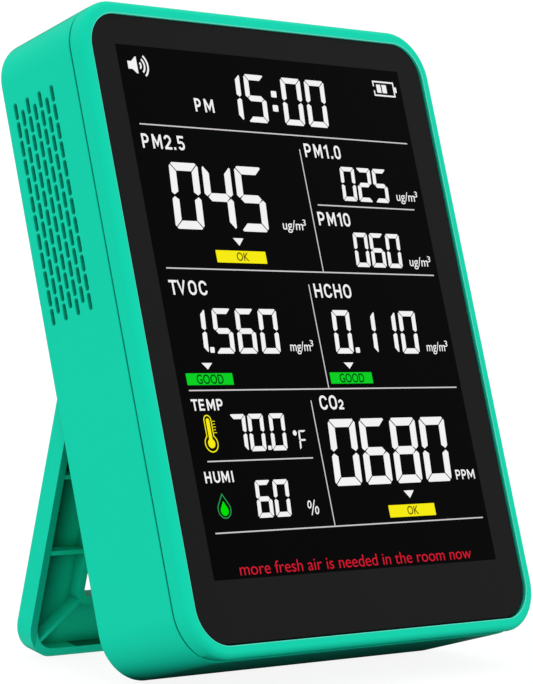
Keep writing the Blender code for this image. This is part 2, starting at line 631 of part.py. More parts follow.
for label, x in BUTTON_PLACES:
    origin = (x, CASE_D, BUTTON_Z)
    switch = make("tact_switch_" + label, sensor_mat, plate(
        rounded_rect(6.0, 6.0, 0.5, x, BUTTON_Z, n=1), 23.8, 25.9))
    cut(switch, "tact_switch_" + label, rod_y(x, BUTTON_Z, SWITCH_RECESS))
    make("switch_plunger_" + label, white_mat, rod_y(x, BUTTON_Z, PLUNGER_PROFILE),
         origin=origin, smooth=True)
    make("button_" + label, button_mat, rod_y(x, BUTTON_Z, BUTTON_PROFILE, 24),
         origin=origin, smooth=True)

# ---------------------------------------------------------------- stand, in its own frame
HEEL = 3.2                           # reach of the heel above the pivot
HEEL_GAP = 0.3                       # heel to recess floor when open
STAND_RIM = 2.0
WELL_TOP = -5.5
WELL_FLOOR = STAND_OUT - 1.35        # leaves the outer skin
WIN_X, WIN_BOTTOM, WIN_TOP = 40.3, -50.0, -23.2
WIN_WALL = 1.8
RIB_Y, RIB_T = STAND_IN + 0.5, 1.0
CROSS_RIB_Z, SIDE_RIB_Z = -20.9, -38.9
RIB_END = STAND_X - STAND_RIM + 0.5
CUT_Y = (-6.0, 6.0)                  # right through the stand
NOTCH_HALF = LUG_HALF + 0.4
PIN_INNER, PIN_OUTER, PIN_CHAMFER = 41.5, 54.8, 0.2


def stand_profile():
    """Side view as (y, z): round top with a heel that stops against the recess floor, square
    foot with small chamfers."""
    c, s = math.cos(OPEN_ANGLE), math.sin(OPEN_ANGLE)
    reach = PIVOT_Y - RECESS_FLOOR - HEEL_GAP
    stop_z = (reach + STAND_IN * c) / s
    heel_y = (HEEL * s - reach) / c
    return [
        (STAND_OUT, FOOT_CHAMFER - STAND_LEN),
        *arc(0.0, 0.0, STAND_OUT, 0, 54, 3),
        (0.9, HEEL - 0.35),
        (0.5, HEEL),
        (heel_y, HEEL),
        (STAND_IN, stop_z),
        (STAND_IN, FOOT_CHAMFER - STAND_LEN),
        (STAND_IN + FOOT_CHAMFER, -STAND_LEN),
        (STAND_OUT - FOOT_CHAMFER, -STAND_LEN)]


def stand_corners():
    """What the rounded foot corners leave out."""
    arc_x, arc_z = STAND_X - STAND_R, STAND_R - STAND_LEN
    outline = [(STAND_X + 1, -STAND_LEN - 1), (STAND_X + 1, arc_z),
               *arc(arc_x, arc_z, STAND_R, 0, -90, 8), (arc_x, -STAND_LEN - 1)]
    return [plate([(side * x, z) for x, z in outline], *CUT_Y) for side in SIDES]


def rib(x0, x1, z, y1):
    return box(x0, x1, RIB_Y, y1, z - RIB_T / 2, z + RIB_T / 2)


def diagonal_rib(side):
    """From a lower corner of the window towards the foot corner on the same side."""
    start = Vector((side * (WIN_X + 0.9), WIN_BOTTOM - 0.9))
    end = Vector((side * (STAND_X - STAND_RIM - 1.5), STAND_RIM + 1.5 - STAND_LEN))
    along = (end - start).normalized()
    across = Vector((-along.y, along.x)) * RIB_T / 2
    outline = [tuple(p) for p in (start + across, start - across, end - across, end + across)]
    return plate(outline, RIB_Y, WELL_FLOOR + 0.3)


def window_rect(grow, r):
    return span_rect(WIN_X + grow, WIN_BOTTOM - grow, WIN_TOP + grow, r, n=3)


kickstand = make("kickstand", shell_mat, prism_x(stand_profile(), -STAND_X, STAND_X),
                 parent=stand_frame, smooth=True)
cut(kickstand, "stand_corners", *stand_corners())
cut(kickstand, "stand_well", plate(
    span_rect(STAND_X - STAND_RIM, STAND_RIM - STAND_LEN, WELL_TOP, STAND_R - STAND_RIM,
              square=(0, 1)), CUT_Y[0], WELL_FLOOR))
join(kickstand, "window_frame", plate(window_rect(WIN_WALL, 3.0), RIB_Y, WELL_FLOOR + 0.6))
join(kickstand, "cross_rib", rib(-RIB_END, RIB_END, CROSS_RIB_Z, WELL_FLOOR + 0.5))
join(kickstand, "side_ribs", *(
    rib(side * RIB_END, side * (WIN_X + WIN_WALL - 0.5), SIDE_RIB_Z, WELL_FLOOR + 0.4)
    for side in SIDES))
join(kickstand, "diagonal_ribs", *(diagonal_rib(side) for side in SIDES))
cut(kickstand, "window", plate(window_rect(0.0, 2.0), *CUT_Y))
cut(kickstand, "lug_notches", *(
    box(side * (LUG_X - NOTCH_HALF), side * (LUG_X + NOTCH_HALF), *CUT_Y, -3.3, 6.0)
    for side in SIDES))
cut(kickstand, "pin_bores", *(
    rod_x(0.0, 0.0, [(side * x, PIN_R + 0.04) for x in (PIN_INNER - 0.3, 56.0)], 20)
    for side in SIDES))

PIN_PROFILE = (  # (x, radius)
    (PIN_INNER, PIN_R - PIN_CHAMFER), (PIN_INNER + PIN_CHAMFER, PIN_R),
    (PIN_OUTER - PIN_CHAMFER, PIN_R), (PIN_OUTER, PIN_R - PIN_CHAMFER))
for side, label in zip(SIDES, ("left", "right")):
    make("stand_pin_" + label, steel_mat,
         rod_x(0.0, 0.0, [(side * x, r) for x, r in PIN_PROFILE], 20),
         parent=stand_frame, smooth=True)
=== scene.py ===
"""The looks of the desktop air quality monitor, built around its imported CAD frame.

Pieces are drawn in the case's own frame, in millimetres: x to the viewer's right, y backwards from
the plane of the front ring, z up along the case. The stand is drawn about its hinge line, with y
away from the case and z along the stand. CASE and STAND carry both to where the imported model
stands, in metres.
"""

import bpy
import bmesh
import json
import math
from mathutils import Matrix, Vector


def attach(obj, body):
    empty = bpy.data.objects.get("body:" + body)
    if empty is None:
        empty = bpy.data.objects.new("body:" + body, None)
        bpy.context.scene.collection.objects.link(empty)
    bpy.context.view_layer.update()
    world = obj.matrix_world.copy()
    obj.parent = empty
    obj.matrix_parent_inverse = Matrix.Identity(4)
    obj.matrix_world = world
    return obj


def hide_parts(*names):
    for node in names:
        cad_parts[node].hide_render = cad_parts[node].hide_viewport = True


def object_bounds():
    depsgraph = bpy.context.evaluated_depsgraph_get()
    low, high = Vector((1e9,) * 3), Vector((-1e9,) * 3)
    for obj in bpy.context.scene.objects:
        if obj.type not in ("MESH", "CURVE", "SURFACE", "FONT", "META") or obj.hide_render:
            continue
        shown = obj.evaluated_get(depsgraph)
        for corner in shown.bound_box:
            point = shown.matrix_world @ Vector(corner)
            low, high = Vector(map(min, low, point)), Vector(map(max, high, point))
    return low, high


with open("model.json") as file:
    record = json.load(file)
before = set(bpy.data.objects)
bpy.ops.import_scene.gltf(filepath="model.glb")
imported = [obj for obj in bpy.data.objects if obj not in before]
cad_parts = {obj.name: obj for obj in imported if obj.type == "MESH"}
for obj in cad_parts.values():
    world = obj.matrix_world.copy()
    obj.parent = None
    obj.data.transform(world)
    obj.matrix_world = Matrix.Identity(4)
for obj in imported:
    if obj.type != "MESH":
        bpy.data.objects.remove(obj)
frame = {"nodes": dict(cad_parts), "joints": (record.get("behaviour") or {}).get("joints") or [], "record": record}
cad_low, cad_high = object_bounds()

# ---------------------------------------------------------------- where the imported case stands
joints = {joint["name"]: joint for joint in frame["joints"]}
inwards = joints["power_press"]["axis"]
LEAN = math.atan2(inwards[2], -inwards[1])
PIVOT = Vector((0.0, 27.58, -7.30))          # a point on the stand's hinge line
OPEN = math.radians(30.0)                    # how far the stand is swung out
TO_METRES = Matrix.Scale(0.001, 4)
TURN = Matrix.Rotation(-LEAN, 4, "X")
SHIFT = Vector(joints["stand_hinge"]["pos_m"]) - (TURN @ TO_METRES) @ PIVOT
CASE = Matrix.Translation(SHIFT) @ TURN @ TO_METRES
STAND = CASE @ Matrix.Translation(PIVOT) @ Matrix.Rotation(OPEN, 4, "X")

# ---------------------------------------------------------------- shared sizes, mm
SIDES = (-1, 1)           # left and right
CORNER_STEPS = 18

CASE_W, CASE_H, CASE_D = 115.7, 150.0, 30.0
TOP_EDGE = CASE_H / 2 + 0.12                 # from the middle to the outer edges
LOW_EDGE = CASE_H / 2 + 0.25
RIGHT_MORE = 0.1                             # extra width at the right
CORNER_R, FRONT_FILLET, REAR_FILLET = 11.6, 1.46, 1.0
DRAFT = 0.64                                 # how far the rear shell draws in by its back
SPLIT_Y, SPLIT_GAP = 4.4, 0.4                # parting line between ring and rear shell
WALL = 1.8

OPEN_W, OPEN_H, OPEN_R = 109.94, 144.68, 8.8   # the ring's opening
OPEN_INSET = (CASE_W - OPEN_W) / 2
PANEL_FRONT, PANEL_BACK = 0.57, 2.07

RECESS_FLOOR = 24.8       # y of the stand's recess in the rear shell
STAND_R = 8.0             # the stand's lower corners
LUG_X, LUG_HALF, PIN_R = 46.0, 2.0, 1.0
TOP_SCREW, LOW_SCREW = (52.6, 65.9), (48.5, -64.9)
BUTTONS = {"button_power": 27.0, "button_set": 9.0, "button_up": -9.0, "button_down": -27.0}
BUTTON_Z = 63.5
USB_Y, USB_Z = 15.4, -43.0

# ---------------------------------------------------------------- node materials
WHITE = (1.0, 1.0, 1.0, 1.0)
WAVE_REPEAT = 0.314       # metres between the bands of a wave texture of scale 1


def srgb(*levels):
    """A linear colour from red, green and blue levels of 0 to 255."""
    parts = [level / 255 for level in levels]
    return tuple(c / 12.92 if c <= 0.04045 else ((c + 0.055) / 1.055) ** 2.4 for c in parts) + (1.0,)


def shade(colour, factor):
    return tuple(min(1.0, part * factor) for part in colour[:3]) + (1.0,)


class Nodes:
    """A short way to write the node tree of a material or world."""

    def __init__(self, owner):
        owner.use_nodes = True
        self.node_tree = owner.node_tree

    def node(self, kind, inputs=None, **settings):
        made = self.node_tree.nodes.new(kind)
        for key, value in settings.items():
            setattr(made, key, value)
        for key, value in (inputs or {}).items():
            self.put(made.inputs[key], value)
        return made

    def put(self, socket, value):
        if isinstance(value, bpy.types.NodeSocket):
            self.node_tree.links.new(value, socket)
        else:
            socket.default_value = value

    def remap(self, value, source, to=(0.0, 1.0)):
        return self.node("ShaderNodeMapRange", {
            "Value": value, "From Min": source[0], "From Max": source[1],
            "To Min": to[0], "To Max": to[1]}).outputs["Result"]

    def math(self, operation, first, second=0.0, third=None):
        inputs = {0: first, 1: second}
        if third is not None:
            inputs[2] = third
        return self.node("ShaderNodeMath", inputs, operation=operation).outputs[0]

    def mix(self, factor, first, second):
        inputs = {0: factor, 6: first, 7: second}
        return self.node("ShaderNodeMix", inputs, data_type="RGBA").outputs[2]

    def separate(self, vector):
        return self.node("ShaderNodeSeparateXYZ", {0: vector}).outputs


class Material(Nodes):
    """A new material, with its textures laid out in object coordinates."""

    def __init__(self, name):
        self.material = bpy.data.materials.new(name)
        super().__init__(self.material)
        self.shader = self.node_tree.nodes["Principled BSDF"]
        self.coords = self.node("ShaderNodeTexCoord").outputs["Object"]

    def set(self, name, value):
        self.put(self.shader.inputs[name], value)

    def stretched(self, factors):
        inputs = {0: self.coords, 1: factors}
        return self.node("ShaderNodeVectorMath", inputs, operation="MULTIPLY").outputs[0]

    def noise(self, scale, detail=2.0, rough=0.5, stretch=None):
        return self.node("ShaderNodeTexNoise", {
            "Scale": scale, "Detail": detail, "Roughness": rough,
            "Vector": self.stretched(stretch) if stretch else self.coords}).outputs["Fac"]

    def cells(self, scale):
        inputs = {"Scale": scale, "Vector": self.coords}
        return self.node("ShaderNodeTexVoronoi", inputs).outputs["Distance"]

    def bands(self, direction, pitch):
        inputs = {"Scale": WAVE_REPEAT / pitch, "Vector": self.coords}
        return self.node("ShaderNodeTexWave", inputs, wave_type="BANDS",
                         bands_direction=direction).outputs["Fac"]

    def bump(self, height, distance, strength, normal=None):
        inputs = {"Strength": strength, "Distance": distance, "Height": height}
        if normal is not None:
            inputs["Normal"] = normal
        return self.node("ShaderNodeBump", inputs).outputs["Normal"]


def moulded(name, colour, rough, specular, grain=0.35, mottle=0.03, depth=6e-6, worn=None,
            tint=WHITE, painted_edge_shade=False, painted_shade_reach=0.0, well=None):
    """Moulded plastic: a spark-eroded grain (mm), slow colour drift and a rubbed tone in specks.

    The shade reach, in metres, is how far painted shade darkens corners; well gives one more dark mask, of painted
    shadow; faces seen edge-on can be painted darker as shade.
    """
    tree = Material(name)
    drift = tree.remap(tree.noise(scale=38.0, detail=3.0, rough=0.55), (0.3, 0.7))
    base = tree.mix(drift, shade(colour, 1 - mottle), shade(colour, 1 + mottle))
    speck = tree.remap(tree.noise(scale=2600.0, rough=0.6), (0.35, 0.65))
    base = tree.mix(tree.math("MULTIPLY", speck, 0.10), base, worn or shade(colour, 1.12))
    # Painted shade: ambient occlusion darkens the colour in corners and creases.
    if painted_shade_reach:
        near = tree.node("ShaderNodeAmbientOcclusion", {"Distance": painted_shade_reach}, samples=6)
        dark = tree.remap(near.outputs["AO"], (0.1, 0.9), to=(0.62, 0.0))
        base = tree.mix(dark, base, shade(colour, 0.16))
    # Painted shadow: the given mask darkens the colour.
    if well:
        base = tree.mix(well(tree), base, shade(colour, 0.05))
    if painted_edge_shade:
        # Painted shade: seen edge-on, the colour is darkened as if the plastic picked up the dark side of the
        # room,
        facing = tree.node("ShaderNodeLayerWeight", {"Blend": 0.5}).outputs["Facing"]
        edge_on = tree.math("MULTIPLY", tree.math("POWER", facing, 9.0), PAINTED_EDGE_SHADE_STRENGTH)
        base = tree.mix(edge_on, base, PAINTED_EDGE_SHADE_COLOUR)
    tree.set("Base Color", base)
    patches = tree.noise(scale=900.0, detail=3.0, rough=0.6)
    tree.set("Roughness", tree.remap(patches, (0.3, 0.7), to=(rough - 0.05, rough + 0.05)))
    if painted_edge_shade:
        # and loses its shine there.
        specular = tree.remap(tree.math("POWER", facing, 4.0), (0.0, 1.0), to=(specular, 0.0))
    tree.set("Specular IOR Level", specular)
    tree.set("Specular Tint", tint)
    pits = tree.cells(1.0 / (grain * 0.001))
    fine = tree.noise(1.6 / (grain * 0.001), rough=0.55)
    pitted = tree.bump(pits, depth, strength=0.35)
    tree.set("Normal", tree.bump(fine, depth, strength=0.5, normal=pitted))
    return tree.material


def glossy(name, colour, rough, specular, dust=0.0):
    """Polished acrylic or glass: very slow waviness, wiping haze and a few dust specks."""
    tree = Material(name)
    smears = tree.noise(scale=55.0, detail=4.0, rough=0.6, stretch=(1.0, 1.0, 0.35))
    haze = tree.remap(smears, (0.35, 0.65))
    base = tree.mix(haze, shade(colour, 0.97), shade(colour, 1.03))
    if dust:
        speck = tree.remap(tree.cells(scale=420.0), (0.0, 0.06), to=(1.0, 0.0))
        base = tree.mix(tree.math("MULTIPLY", speck, dust), base, srgb(120, 122, 124))
    tree.set("Base Color", base)
    tree.set("Roughness", tree.remap(haze, (0.0, 1.0), to=(rough, rough + 0.05)))
    tree.set("Specular IOR Level", specular)
    waves = tree.noise(scale=24.0, detail=1.0)
    tree.set("Normal", tree.bump(waves, distance=2e-5, strength=0.12))
    return tree.material


def lit(name, colour):
    """A lit display segment: light from behind, with the faint cell pattern of the panel."""
    tree = Material(name)
    stripes = tree.bands("X", pitch=0.00032)
    tone = tree.math("MULTIPLY_ADD", stripes, 0.02, 0.98)
    slow = tree.remap(tree.noise(scale=90.0), (0.3, 0.7), to=(0.985, 1.015))
    tree.set("Base Color", shade(colour, 0.04))
    tree.set("Specular IOR Level", 0.0)
    tree.set("Roughness", 0.6)
    glow = tree.mix(tree.math("MULTIPLY", tone, slow), (0, 0, 0, 1), colour)
    tree.set("Emission Color", glow)
    tree.set("Emission Strength", 1.0)
    return tree.material


def metal(name, colour, rough, stretch=(1.0, 1.0, 1.0), metallic=1.0):
    """Metal with a fine grain in its tone, roughness and relief."""
    tree = Material(name)
    grain = tree.noise(scale=1500.0, detail=3.0, rough=0.6, stretch=stretch)
    tone = tree.remap(grain, (0.3, 0.7))
    tree.set("Base Color", tree.mix(tone, shade(colour, 0.9), shade(colour, 1.06)))
    tree.set("Roughness", tree.remap(grain, (0.3, 0.7), to=(rough - 0.06, rough + 0.08)))
    tree.set("Metallic", metallic)
    tree.set("Normal", tree.bump(grain, distance=4e-6, strength=0.4))
    return tree.material


def woven(name, colour, dark, pitch):
    """A fine screen: two crossed sets of threads."""
    tree = Material(name)
    threads = [tree.bands(direction, pitch) for direction in ("Y", "Z")]
    both = tree.math("MAXIMUM", *threads)
    tree.set("Base Color", tree.mix(tree.remap(both, (0.3, 0.9)), dark, colour))
    tree.set("Roughness", 0.7)
    tree.set("Specular IOR Level", 0.1)
    tree.set("Normal", tree.bump(both, distance=3e-5, strength=0.6))
    return tree.material


def stand_well_shadow(tree):
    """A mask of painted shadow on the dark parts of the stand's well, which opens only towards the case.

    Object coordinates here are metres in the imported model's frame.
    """
    coordinates = tree.node("ShaderNodeTexCoord")
    place = tree.separate(coordinates.outputs["Object"])
    normal = tree.separate(coordinates.outputs["Normal"])
    x = tree.math("ABSOLUTE", place["X"])
    on_rim = tree.math("GREATER_THAN", x, 0.0529)
    # Height along the direction in which the well opens.
    up = tree.math("ADD", tree.math("MULTIPLY", place["Y"], -0.987),
                   tree.math("MULTIPLY", place["Z"], -0.160))
    on_floor = tree.math("LESS_THAN", up, -0.0190)
    # The painted shadow on the floor darkens towards both sides.
    outwards = tree.remap(x, (0.0432, 0.0500), to=(0.0, 0.93))
    side = tree.math("MAXIMUM", tree.math("MULTIPLY", on_rim, 0.42),
                     tree.math("MULTIPLY", outwards, on_floor))
    # The painted shadow eases near the foot, and is only on faces that look forwards.
    side = tree.math("MULTIPLY", side, tree.remap(place["Z"], (0.004, 0.030), to=(0.78, 1.0)))
    side = tree.math("MULTIPLY", side, tree.remap(normal["Y"], (-0.9, -0.7), to=(1.0, 0.0)))
    # Painted shadow on low faces that look up, within the width of the stand's window.
    ledge = tree.math("MULTIPLY", tree.remap(normal["Z"], (0.8, 0.95), to=(0.0, 0.78)),
                      tree.math("MULTIPLY", tree.math("LESS_THAN", x, 0.0403),
                                tree.math("LESS_THAN", place["Z"], 0.0155)))
    return tree.math("MAXIMUM", side, ledge)


TEAL = (0.0060, 0.670, 0.430, 1.0)
TEAL_TINT = (0.35, 1.0, 0.85, 1.0)
# Painted edge shade: how strongly faces seen edge-on are darkened, and the dark colour used.
PAINTED_EDGE_SHADE_STRENGTH, PAINTED_EDGE_SHADE_COLOUR = 0.95, (0.004, 0.13, 0.085, 1.0)
# The teal moulding's colour carries painted shade in corners and on faces seen edge-on; the stand's also a painted
# shadow in its well.
shell_mat = moulded("turquoise_moulding", TEAL, rough=0.5, specular=0.038, grain=0.32,
                    mottle=0.012, tint=TEAL_TINT, painted_edge_shade=True, painted_shade_reach=0.0020)
stand_mat = moulded("turquoise_moulding_stand", TEAL, rough=0.52, specular=0.05, grain=0.32,
                    mottle=0.015, tint=TEAL_TINT, painted_edge_shade=True, painted_shade_reach=0.0036,
                    well=stand_well_shadow)
# The lip's lighter teal is a painted highlight along the ring's inner edge; its lower roughness is real polish.
lip_highlight_mat = moulded("turquoise_lip_painted_highlight", (0.13, 0.76, 0.57, 1.0), rough=0.4, specular=0.08,
                  grain=0.32, mottle=0.02)
screen_mat = woven("dust_screen", (0.001, 0.10, 0.066, 1.0), dark=(0.001, 0.035, 0.022, 1.0),
                   pitch=0.00045)
window_mat = glossy("smoked_acrylic", srgb(27, 27, 28), rough=0.16, specular=0.03, dust=0.012)
display_mat = glossy("liquid_crystal_cell", srgb(4, 4, 5), rough=0.14, specular=0.014)
white_lit = lit("segment_white", srgb(240, 240, 240))
rule_lit = lit("segment_rule", srgb(206, 202, 204))
yellow_lit = lit("segment_yellow", srgb(244, 232, 20))
green_lit = lit("segment_green", srgb(14, 205, 36))
drop_lit = lit("segment_drop", srgb(0, 222, 0))
drop_line_lit = lit("segment_drop_outline", srgb(44, 152, 84))
red_lit = lit("segment_red", srgb(208, 27, 49))
olive = lit("bar_print_olive", srgb(104, 98, 12))
dark_green = lit("bar_print_green", srgb(0, 74, 16))
button_mat = moulded("white_button", srgb(228, 234, 233), rough=0.38, specular=0.3, grain=0.3,
                     mottle=0.01, worn=srgb(214, 220, 219))
steel_mat = metal("zinc_plated_steel", srgb(184, 186, 190), rough=0.3)
SLOTS = {
    "shell": shell_mat,
    "window": window_mat,
    "foam": moulded("black_cell_foam", srgb(20, 20, 21), rough=0.92, specular=0.05, grain=0.6,
                    depth=6e-5),
    "lcd": display_mat,
    "light_guide": glossy("white_light_guide", srgb(232, 236, 238), rough=0.3, specular=0.4),
    "frame_plastic": moulded("dark_carrier_moulding", srgb(45, 47, 50), rough=0.5, specular=0.3,
                             grain=0.4),
    "flex_film": glossy("amber_film", srgb(196, 120, 30), rough=0.3, specular=0.5),
    "circuit_board": glossy("green_solder_mask", srgb(18, 84, 44), rough=0.35, specular=0.5,
                            dust=0.1),
    "chip_package": moulded("moulded_epoxy", srgb(28, 28, 30), rough=0.55, specular=0.3,
                            grain=0.12),
    "steel": steel_mat,
    "button_plastic": button_mat,
    "white_plastic": moulded("natural_nylon", srgb(226, 226, 220), rough=0.45, specular=0.3,
                             grain=0.3, mottle=0.015, worn=srgb(214, 214, 206)),
    "battery_foil": metal("battery_pouch", srgb(176, 180, 186), rough=0.32,
                          stretch=(1.0, 1.0, 3.0), metallic=0.8),
    "red_wire": moulded("red_insulation", srgb(196, 30, 28), rough=0.4, specular=0.4, grain=0.2),
    "black_wire": moulded("black_insulation", srgb(20, 20, 20), rough=0.4, specular=0.4,
                          grain=0.2),
    "sensor_black": moulded("black_sensor_moulding", srgb(34, 36, 40), rough=0.5, specular=0.3,
                            grain=0.4),
    "sensor_gold": metal("gold_plated_can", srgb(206, 170, 90), rough=0.28),
}
node_slots = {row["node"]: row["material_slot"] for row in frame["record"]["subparts"]}


# ---------------------------------------------------------------- outlines, mm
def quarter(steps):
    """The angles of a quarter turn."""
    return [math.radians(90 * k / steps) for k in range(steps + 1)]


def arc(x, z, radius, start, end, steps=20):
    """Points of an arc; the angles are in degrees."""
    angles = [math.radians(start + (end - start) * k / steps) for k in range(steps + 1)]
    return [(x + radius * math.cos(a), z + radius * math.sin(a)) for a in angles]


def circle(x, z, radius, steps):
    angles = [2 * math.pi * i / steps for i in range(steps)]
    return [(x + radius * math.cos(a), z + radius * math.sin(a)) for a in angles]


def rect(left, right, low, high):
    return [(left, low), (right, low), (right, high), (left, high)]


def rounded_rect(width, height, radius, x=0.0, z=0.0, steps=CORNER_STEPS, square=()):
    """Corners run 0 upper right, 1 upper left, 2 lower left, 3 lower right; some may be square."""
    points = []
    for i, (side, rise) in enumerate(((1, 1), (-1, 1), (-1, -1), (1, -1))):
        corner = 0.02 if i in square else radius
        points += arc(x + side * (width / 2 - corner), z + rise * (height / 2 - corner), corner,
                      90 * i, 90 * i + 90, steps)
    return points


def stadium(y, z, length, width, grow=0.0, steps=8):
    """A slot in (y, z), long in z."""
    radius = width / 2 + grow
    half = length / 2 - width / 2
    return (arc(y, z + half, radius, 0, 180, steps) + arc(y, z - half, radius, 180, 360, steps))


def case_section(inset):
    return rounded_rect(CASE_W + RIGHT_MORE - 2 * inset, TOP_EDGE + LOW_EDGE - 2 * inset,
                        CORNER_R - inset, x=RIGHT_MORE / 2, z=(TOP_EDGE - LOW_EDGE) / 2)


def draft_at(y):
    """How far the rear shell's sides have drawn in at y."""
    run = CASE_D - REAR_FILLET - SPLIT_Y - SPLIT_GAP / 2
    return DRAFT * max(0.0, y - SPLIT_Y - SPLIT_GAP / 2) / run


def side_wall(side, y):
    """Distance from the middle to the rear shell's outer side at y."""
    return CASE_W / 2 - draft_at(y) + (RIGHT_MORE if side > 0 else 0.0)


# ---------------------------------------------------------------- solids, mm
def loft(mesh, sections, along_x=False, closed=False):
    """Joins sections (y, [(x, z), ...]), or (x, [(y, z), ...]) along x; open lofts are capped."""
    rings = []
    for place, outline in sections:
        rings.append([mesh.verts.new((place, across, z) if along_x else (across, place, z))
                      for across, z in outline])
    count = len(rings[0])
    for low, high in zip(rings, rings[1:] + (rings[:1] if closed else [])):
        for i in range(count):
            j = (i + 1) % count
            mesh.faces.new((low[i], low[j], high[j], high[i]))
    if not closed:
        mesh.faces.new(rings[0])
        mesh.faces.new(list(reversed(rings[-1])))


def prism(mesh, outline, start, end, along_x=False):
    loft(mesh, ((start, outline), (end, outline)), along_x)


def box(mesh, x_range, y_range, z_range):
    prism(mesh, rect(*x_range, *z_range), *y_range)


def turned(mesh, x, z, profile, steps=48, closed=False):
    """A (y, radius) profile turned about a line along y."""
    loft(mesh, [(y, circle(x, z, radius, steps)) for y, radius in profile], closed=closed)


def mouth(outline, deep, surface, fillet, steps=5, beyond=1.2):
    """Sections of a cutter with a rounded mouth, from deep to surface along its axis.

    outline(grow) gives the points.
    """
    sign = 1 if surface > deep else -1
    sections = [(deep, outline(0.0))]
    for t in quarter(steps):
        sections.append((surface - sign * (fillet - fillet * math.sin(t)),
                         outline(fillet - fillet * math.cos(t))))
    sections.append((surface + sign * beyond, outline(fillet)))
    return sections


def raw(name, build):
    """A new object in mm; build(mesh) fills its mesh."""
    mesh = bmesh.new()
    build(mesh)
    bmesh.ops.recalc_face_normals(mesh, faces=mesh.faces)
    data = bpy.data.meshes.new(name)
    mesh.to_mesh(data)
    mesh.free()
    obj = bpy.data.objects.new(name, data)
    bpy.context.scene.collection.objects.link(obj)
    return obj


def evaluated_mesh(obj):
    bpy.context.view_layer.update()
    depsgraph = bpy.context.evaluated_depsgraph_get()
    return bpy.data.meshes.new_from_object(obj.evaluated_get(depsgraph))


def settle(obj):
    """Applies an object's modifiers."""
    made = evaluated_mesh(obj)
    old = obj.data
    obj.modifiers.clear()
    obj.data = made
    bpy.data.meshes.remove(old)


def carve(obj, *steps):
    """Booleans in turn: steps are (operation, build)."""
    for operation, build in steps:
        tool = raw("tool", build)
        boolean = obj.modifiers.new("b", "BOOLEAN")
        boolean.operation, boolean.object, boolean.solver = operation, tool, "EXACT"
        settle(obj)
        data = tool.data
        bpy.data.objects.remove(tool)
        bpy.data.meshes.remove(data)


def bevel(obj, width, segments, angle):
    modifier = obj.modifiers.new("bevel", "BEVEL")
    modifier.width, modifier.segments = width, segments
    modifier.limit_method, modifier.angle_limit = "ANGLE", math.radians(angle)
    modifier.use_clamp_overlap = True
    settle(obj)


def piece(obj, material, place=CASE, body="root", replaces=None, weighted=True):
    """Puts a raw object in place and hands it to the frame."""
    data = obj.data
    data.transform(place)
    data.materials.clear()
    data.materials.append(material)
    data.shade_smooth()
    data.set_sharp_from_angle(angle=math.radians(30.0))
    if weighted:
        modifier = obj.modifiers.new("weighted_normal", "WEIGHTED_NORMAL")
        modifier.keep_sharp = True
        modifier.weight = 50
    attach(obj, body)
    if replaces:
        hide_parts(replaces)
    return obj


# ---------------------------------------------------------------- front ring
EDGE = 0.14               # round at the parting line
INNER_EDGE = 0.24         # round on the ring's inner front edge
LIP_R = 0.17
# How much farther out each side of the opening lies than an even inset puts it.
OPEN_LEFT, OPEN_RIGHT, OPEN_TOP, OPEN_BOTTOM = 0.07, 0.15, -0.30, 0.02
# The underside rises by UNDER_RISE from UNDER_Y to the parting line, within UNDER_BAND of the foot.
UNDER_RISE, UNDER_Y, UNDER_BAND = 0.56, 1.5, 1.0
RING_STEPS = ((2.1, 6.6), (3.6, 6.6), (3.6, 4.2), (5.2, 4.2), (5.2, 2.85))   # (inset, y)
# (y, radius) round the hollow screw posts.
TOP_POST = ((4.0, 0.4), (10.5, 0.4), (10.5, 1.1), (22.0, 1.1), (22.0, 2.1), (4.0, 2.1))
LOW_POST = ((4.0, 0.4), (5.5, 0.4), (5.5, 1.1), (16.7, 1.1), (16.7, 2.6), (4.0, 2.6))


def ring_profile():
    """(inset, y) round the ring's cross-section, from the front face over the outside."""
    end = SPLIT_Y - SPLIT_GAP / 2
    points = [(FRONT_FILLET - FRONT_FILLET * math.sin(t), FRONT_FILLET - FRONT_FILLET * math.cos(t))
              for t in quarter(10)]
    points += [(EDGE - EDGE * math.cos(t), end - EDGE + EDGE * math.sin(t)) for t in quarter(3)]
    points += [(RING_STEPS[0][0], end), *RING_STEPS, (OPEN_INSET, RING_STEPS[-1][1])]
    points += [(OPEN_INSET - INNER_EDGE + INNER_EDGE * math.cos(t),
                INNER_EDGE - INNER_EDGE * math.sin(t)) for t in quarter(5)]
    return points


def ring_section(inset):
    """The ring's outline, easing into the uneven opening as the inset grows."""
    part = min(1.0, max(0.0, inset) / OPEN_INSET)
    left = CASE_W / 2 - inset + OPEN_LEFT * part
    right = CASE_W / 2 - inset + RIGHT_MORE + OPEN_RIGHT * part
    top = TOP_EDGE - inset + OPEN_TOP * part
    bottom = LOW_EDGE - inset + OPEN_BOTTOM * part
    return rounded_rect(left + right, top + bottom, CORNER_R - inset,
                        (right - left) / 2, (top - bottom) / 2)


def ring_loft(mesh, profile):
    loft(mesh, [(y, ring_section(inset)) for inset, y in profile], closed=True)


def build_ring(mesh):
    ring_loft(mesh, ring_profile())
    for vert in mesh.verts:
        # With the underside raised, the rear shell shows as a step.
        if CASE_H / 2 + vert.co.z < UNDER_BAND and UNDER_Y < vert.co.y < SPLIT_Y:
            vert.co.z += UNDER_RISE * (vert.co.y - UNDER_Y) / (SPLIT_Y - UNDER_Y)
    for side in SIDES:
        for (x, z), post in ((TOP_SCREW, TOP_POST), (LOW_SCREW, LOW_POST)):
            turned(mesh, side * x, z, post, steps=24, closed=True)


def build_lip(mesh):
    """The fine polished round where the ring meets the window, coloured a lighter teal as a painted highlight."""
    ring_loft(mesh, arc(OPEN_INSET - LIP_R, LIP_R, LIP_R, 0, -330, 11))


piece(raw("front_bezel_skin", build_ring), shell_mat, replaces="front_bezel")
piece(raw("front_bezel_lip", build_lip), lip_highlight_mat)

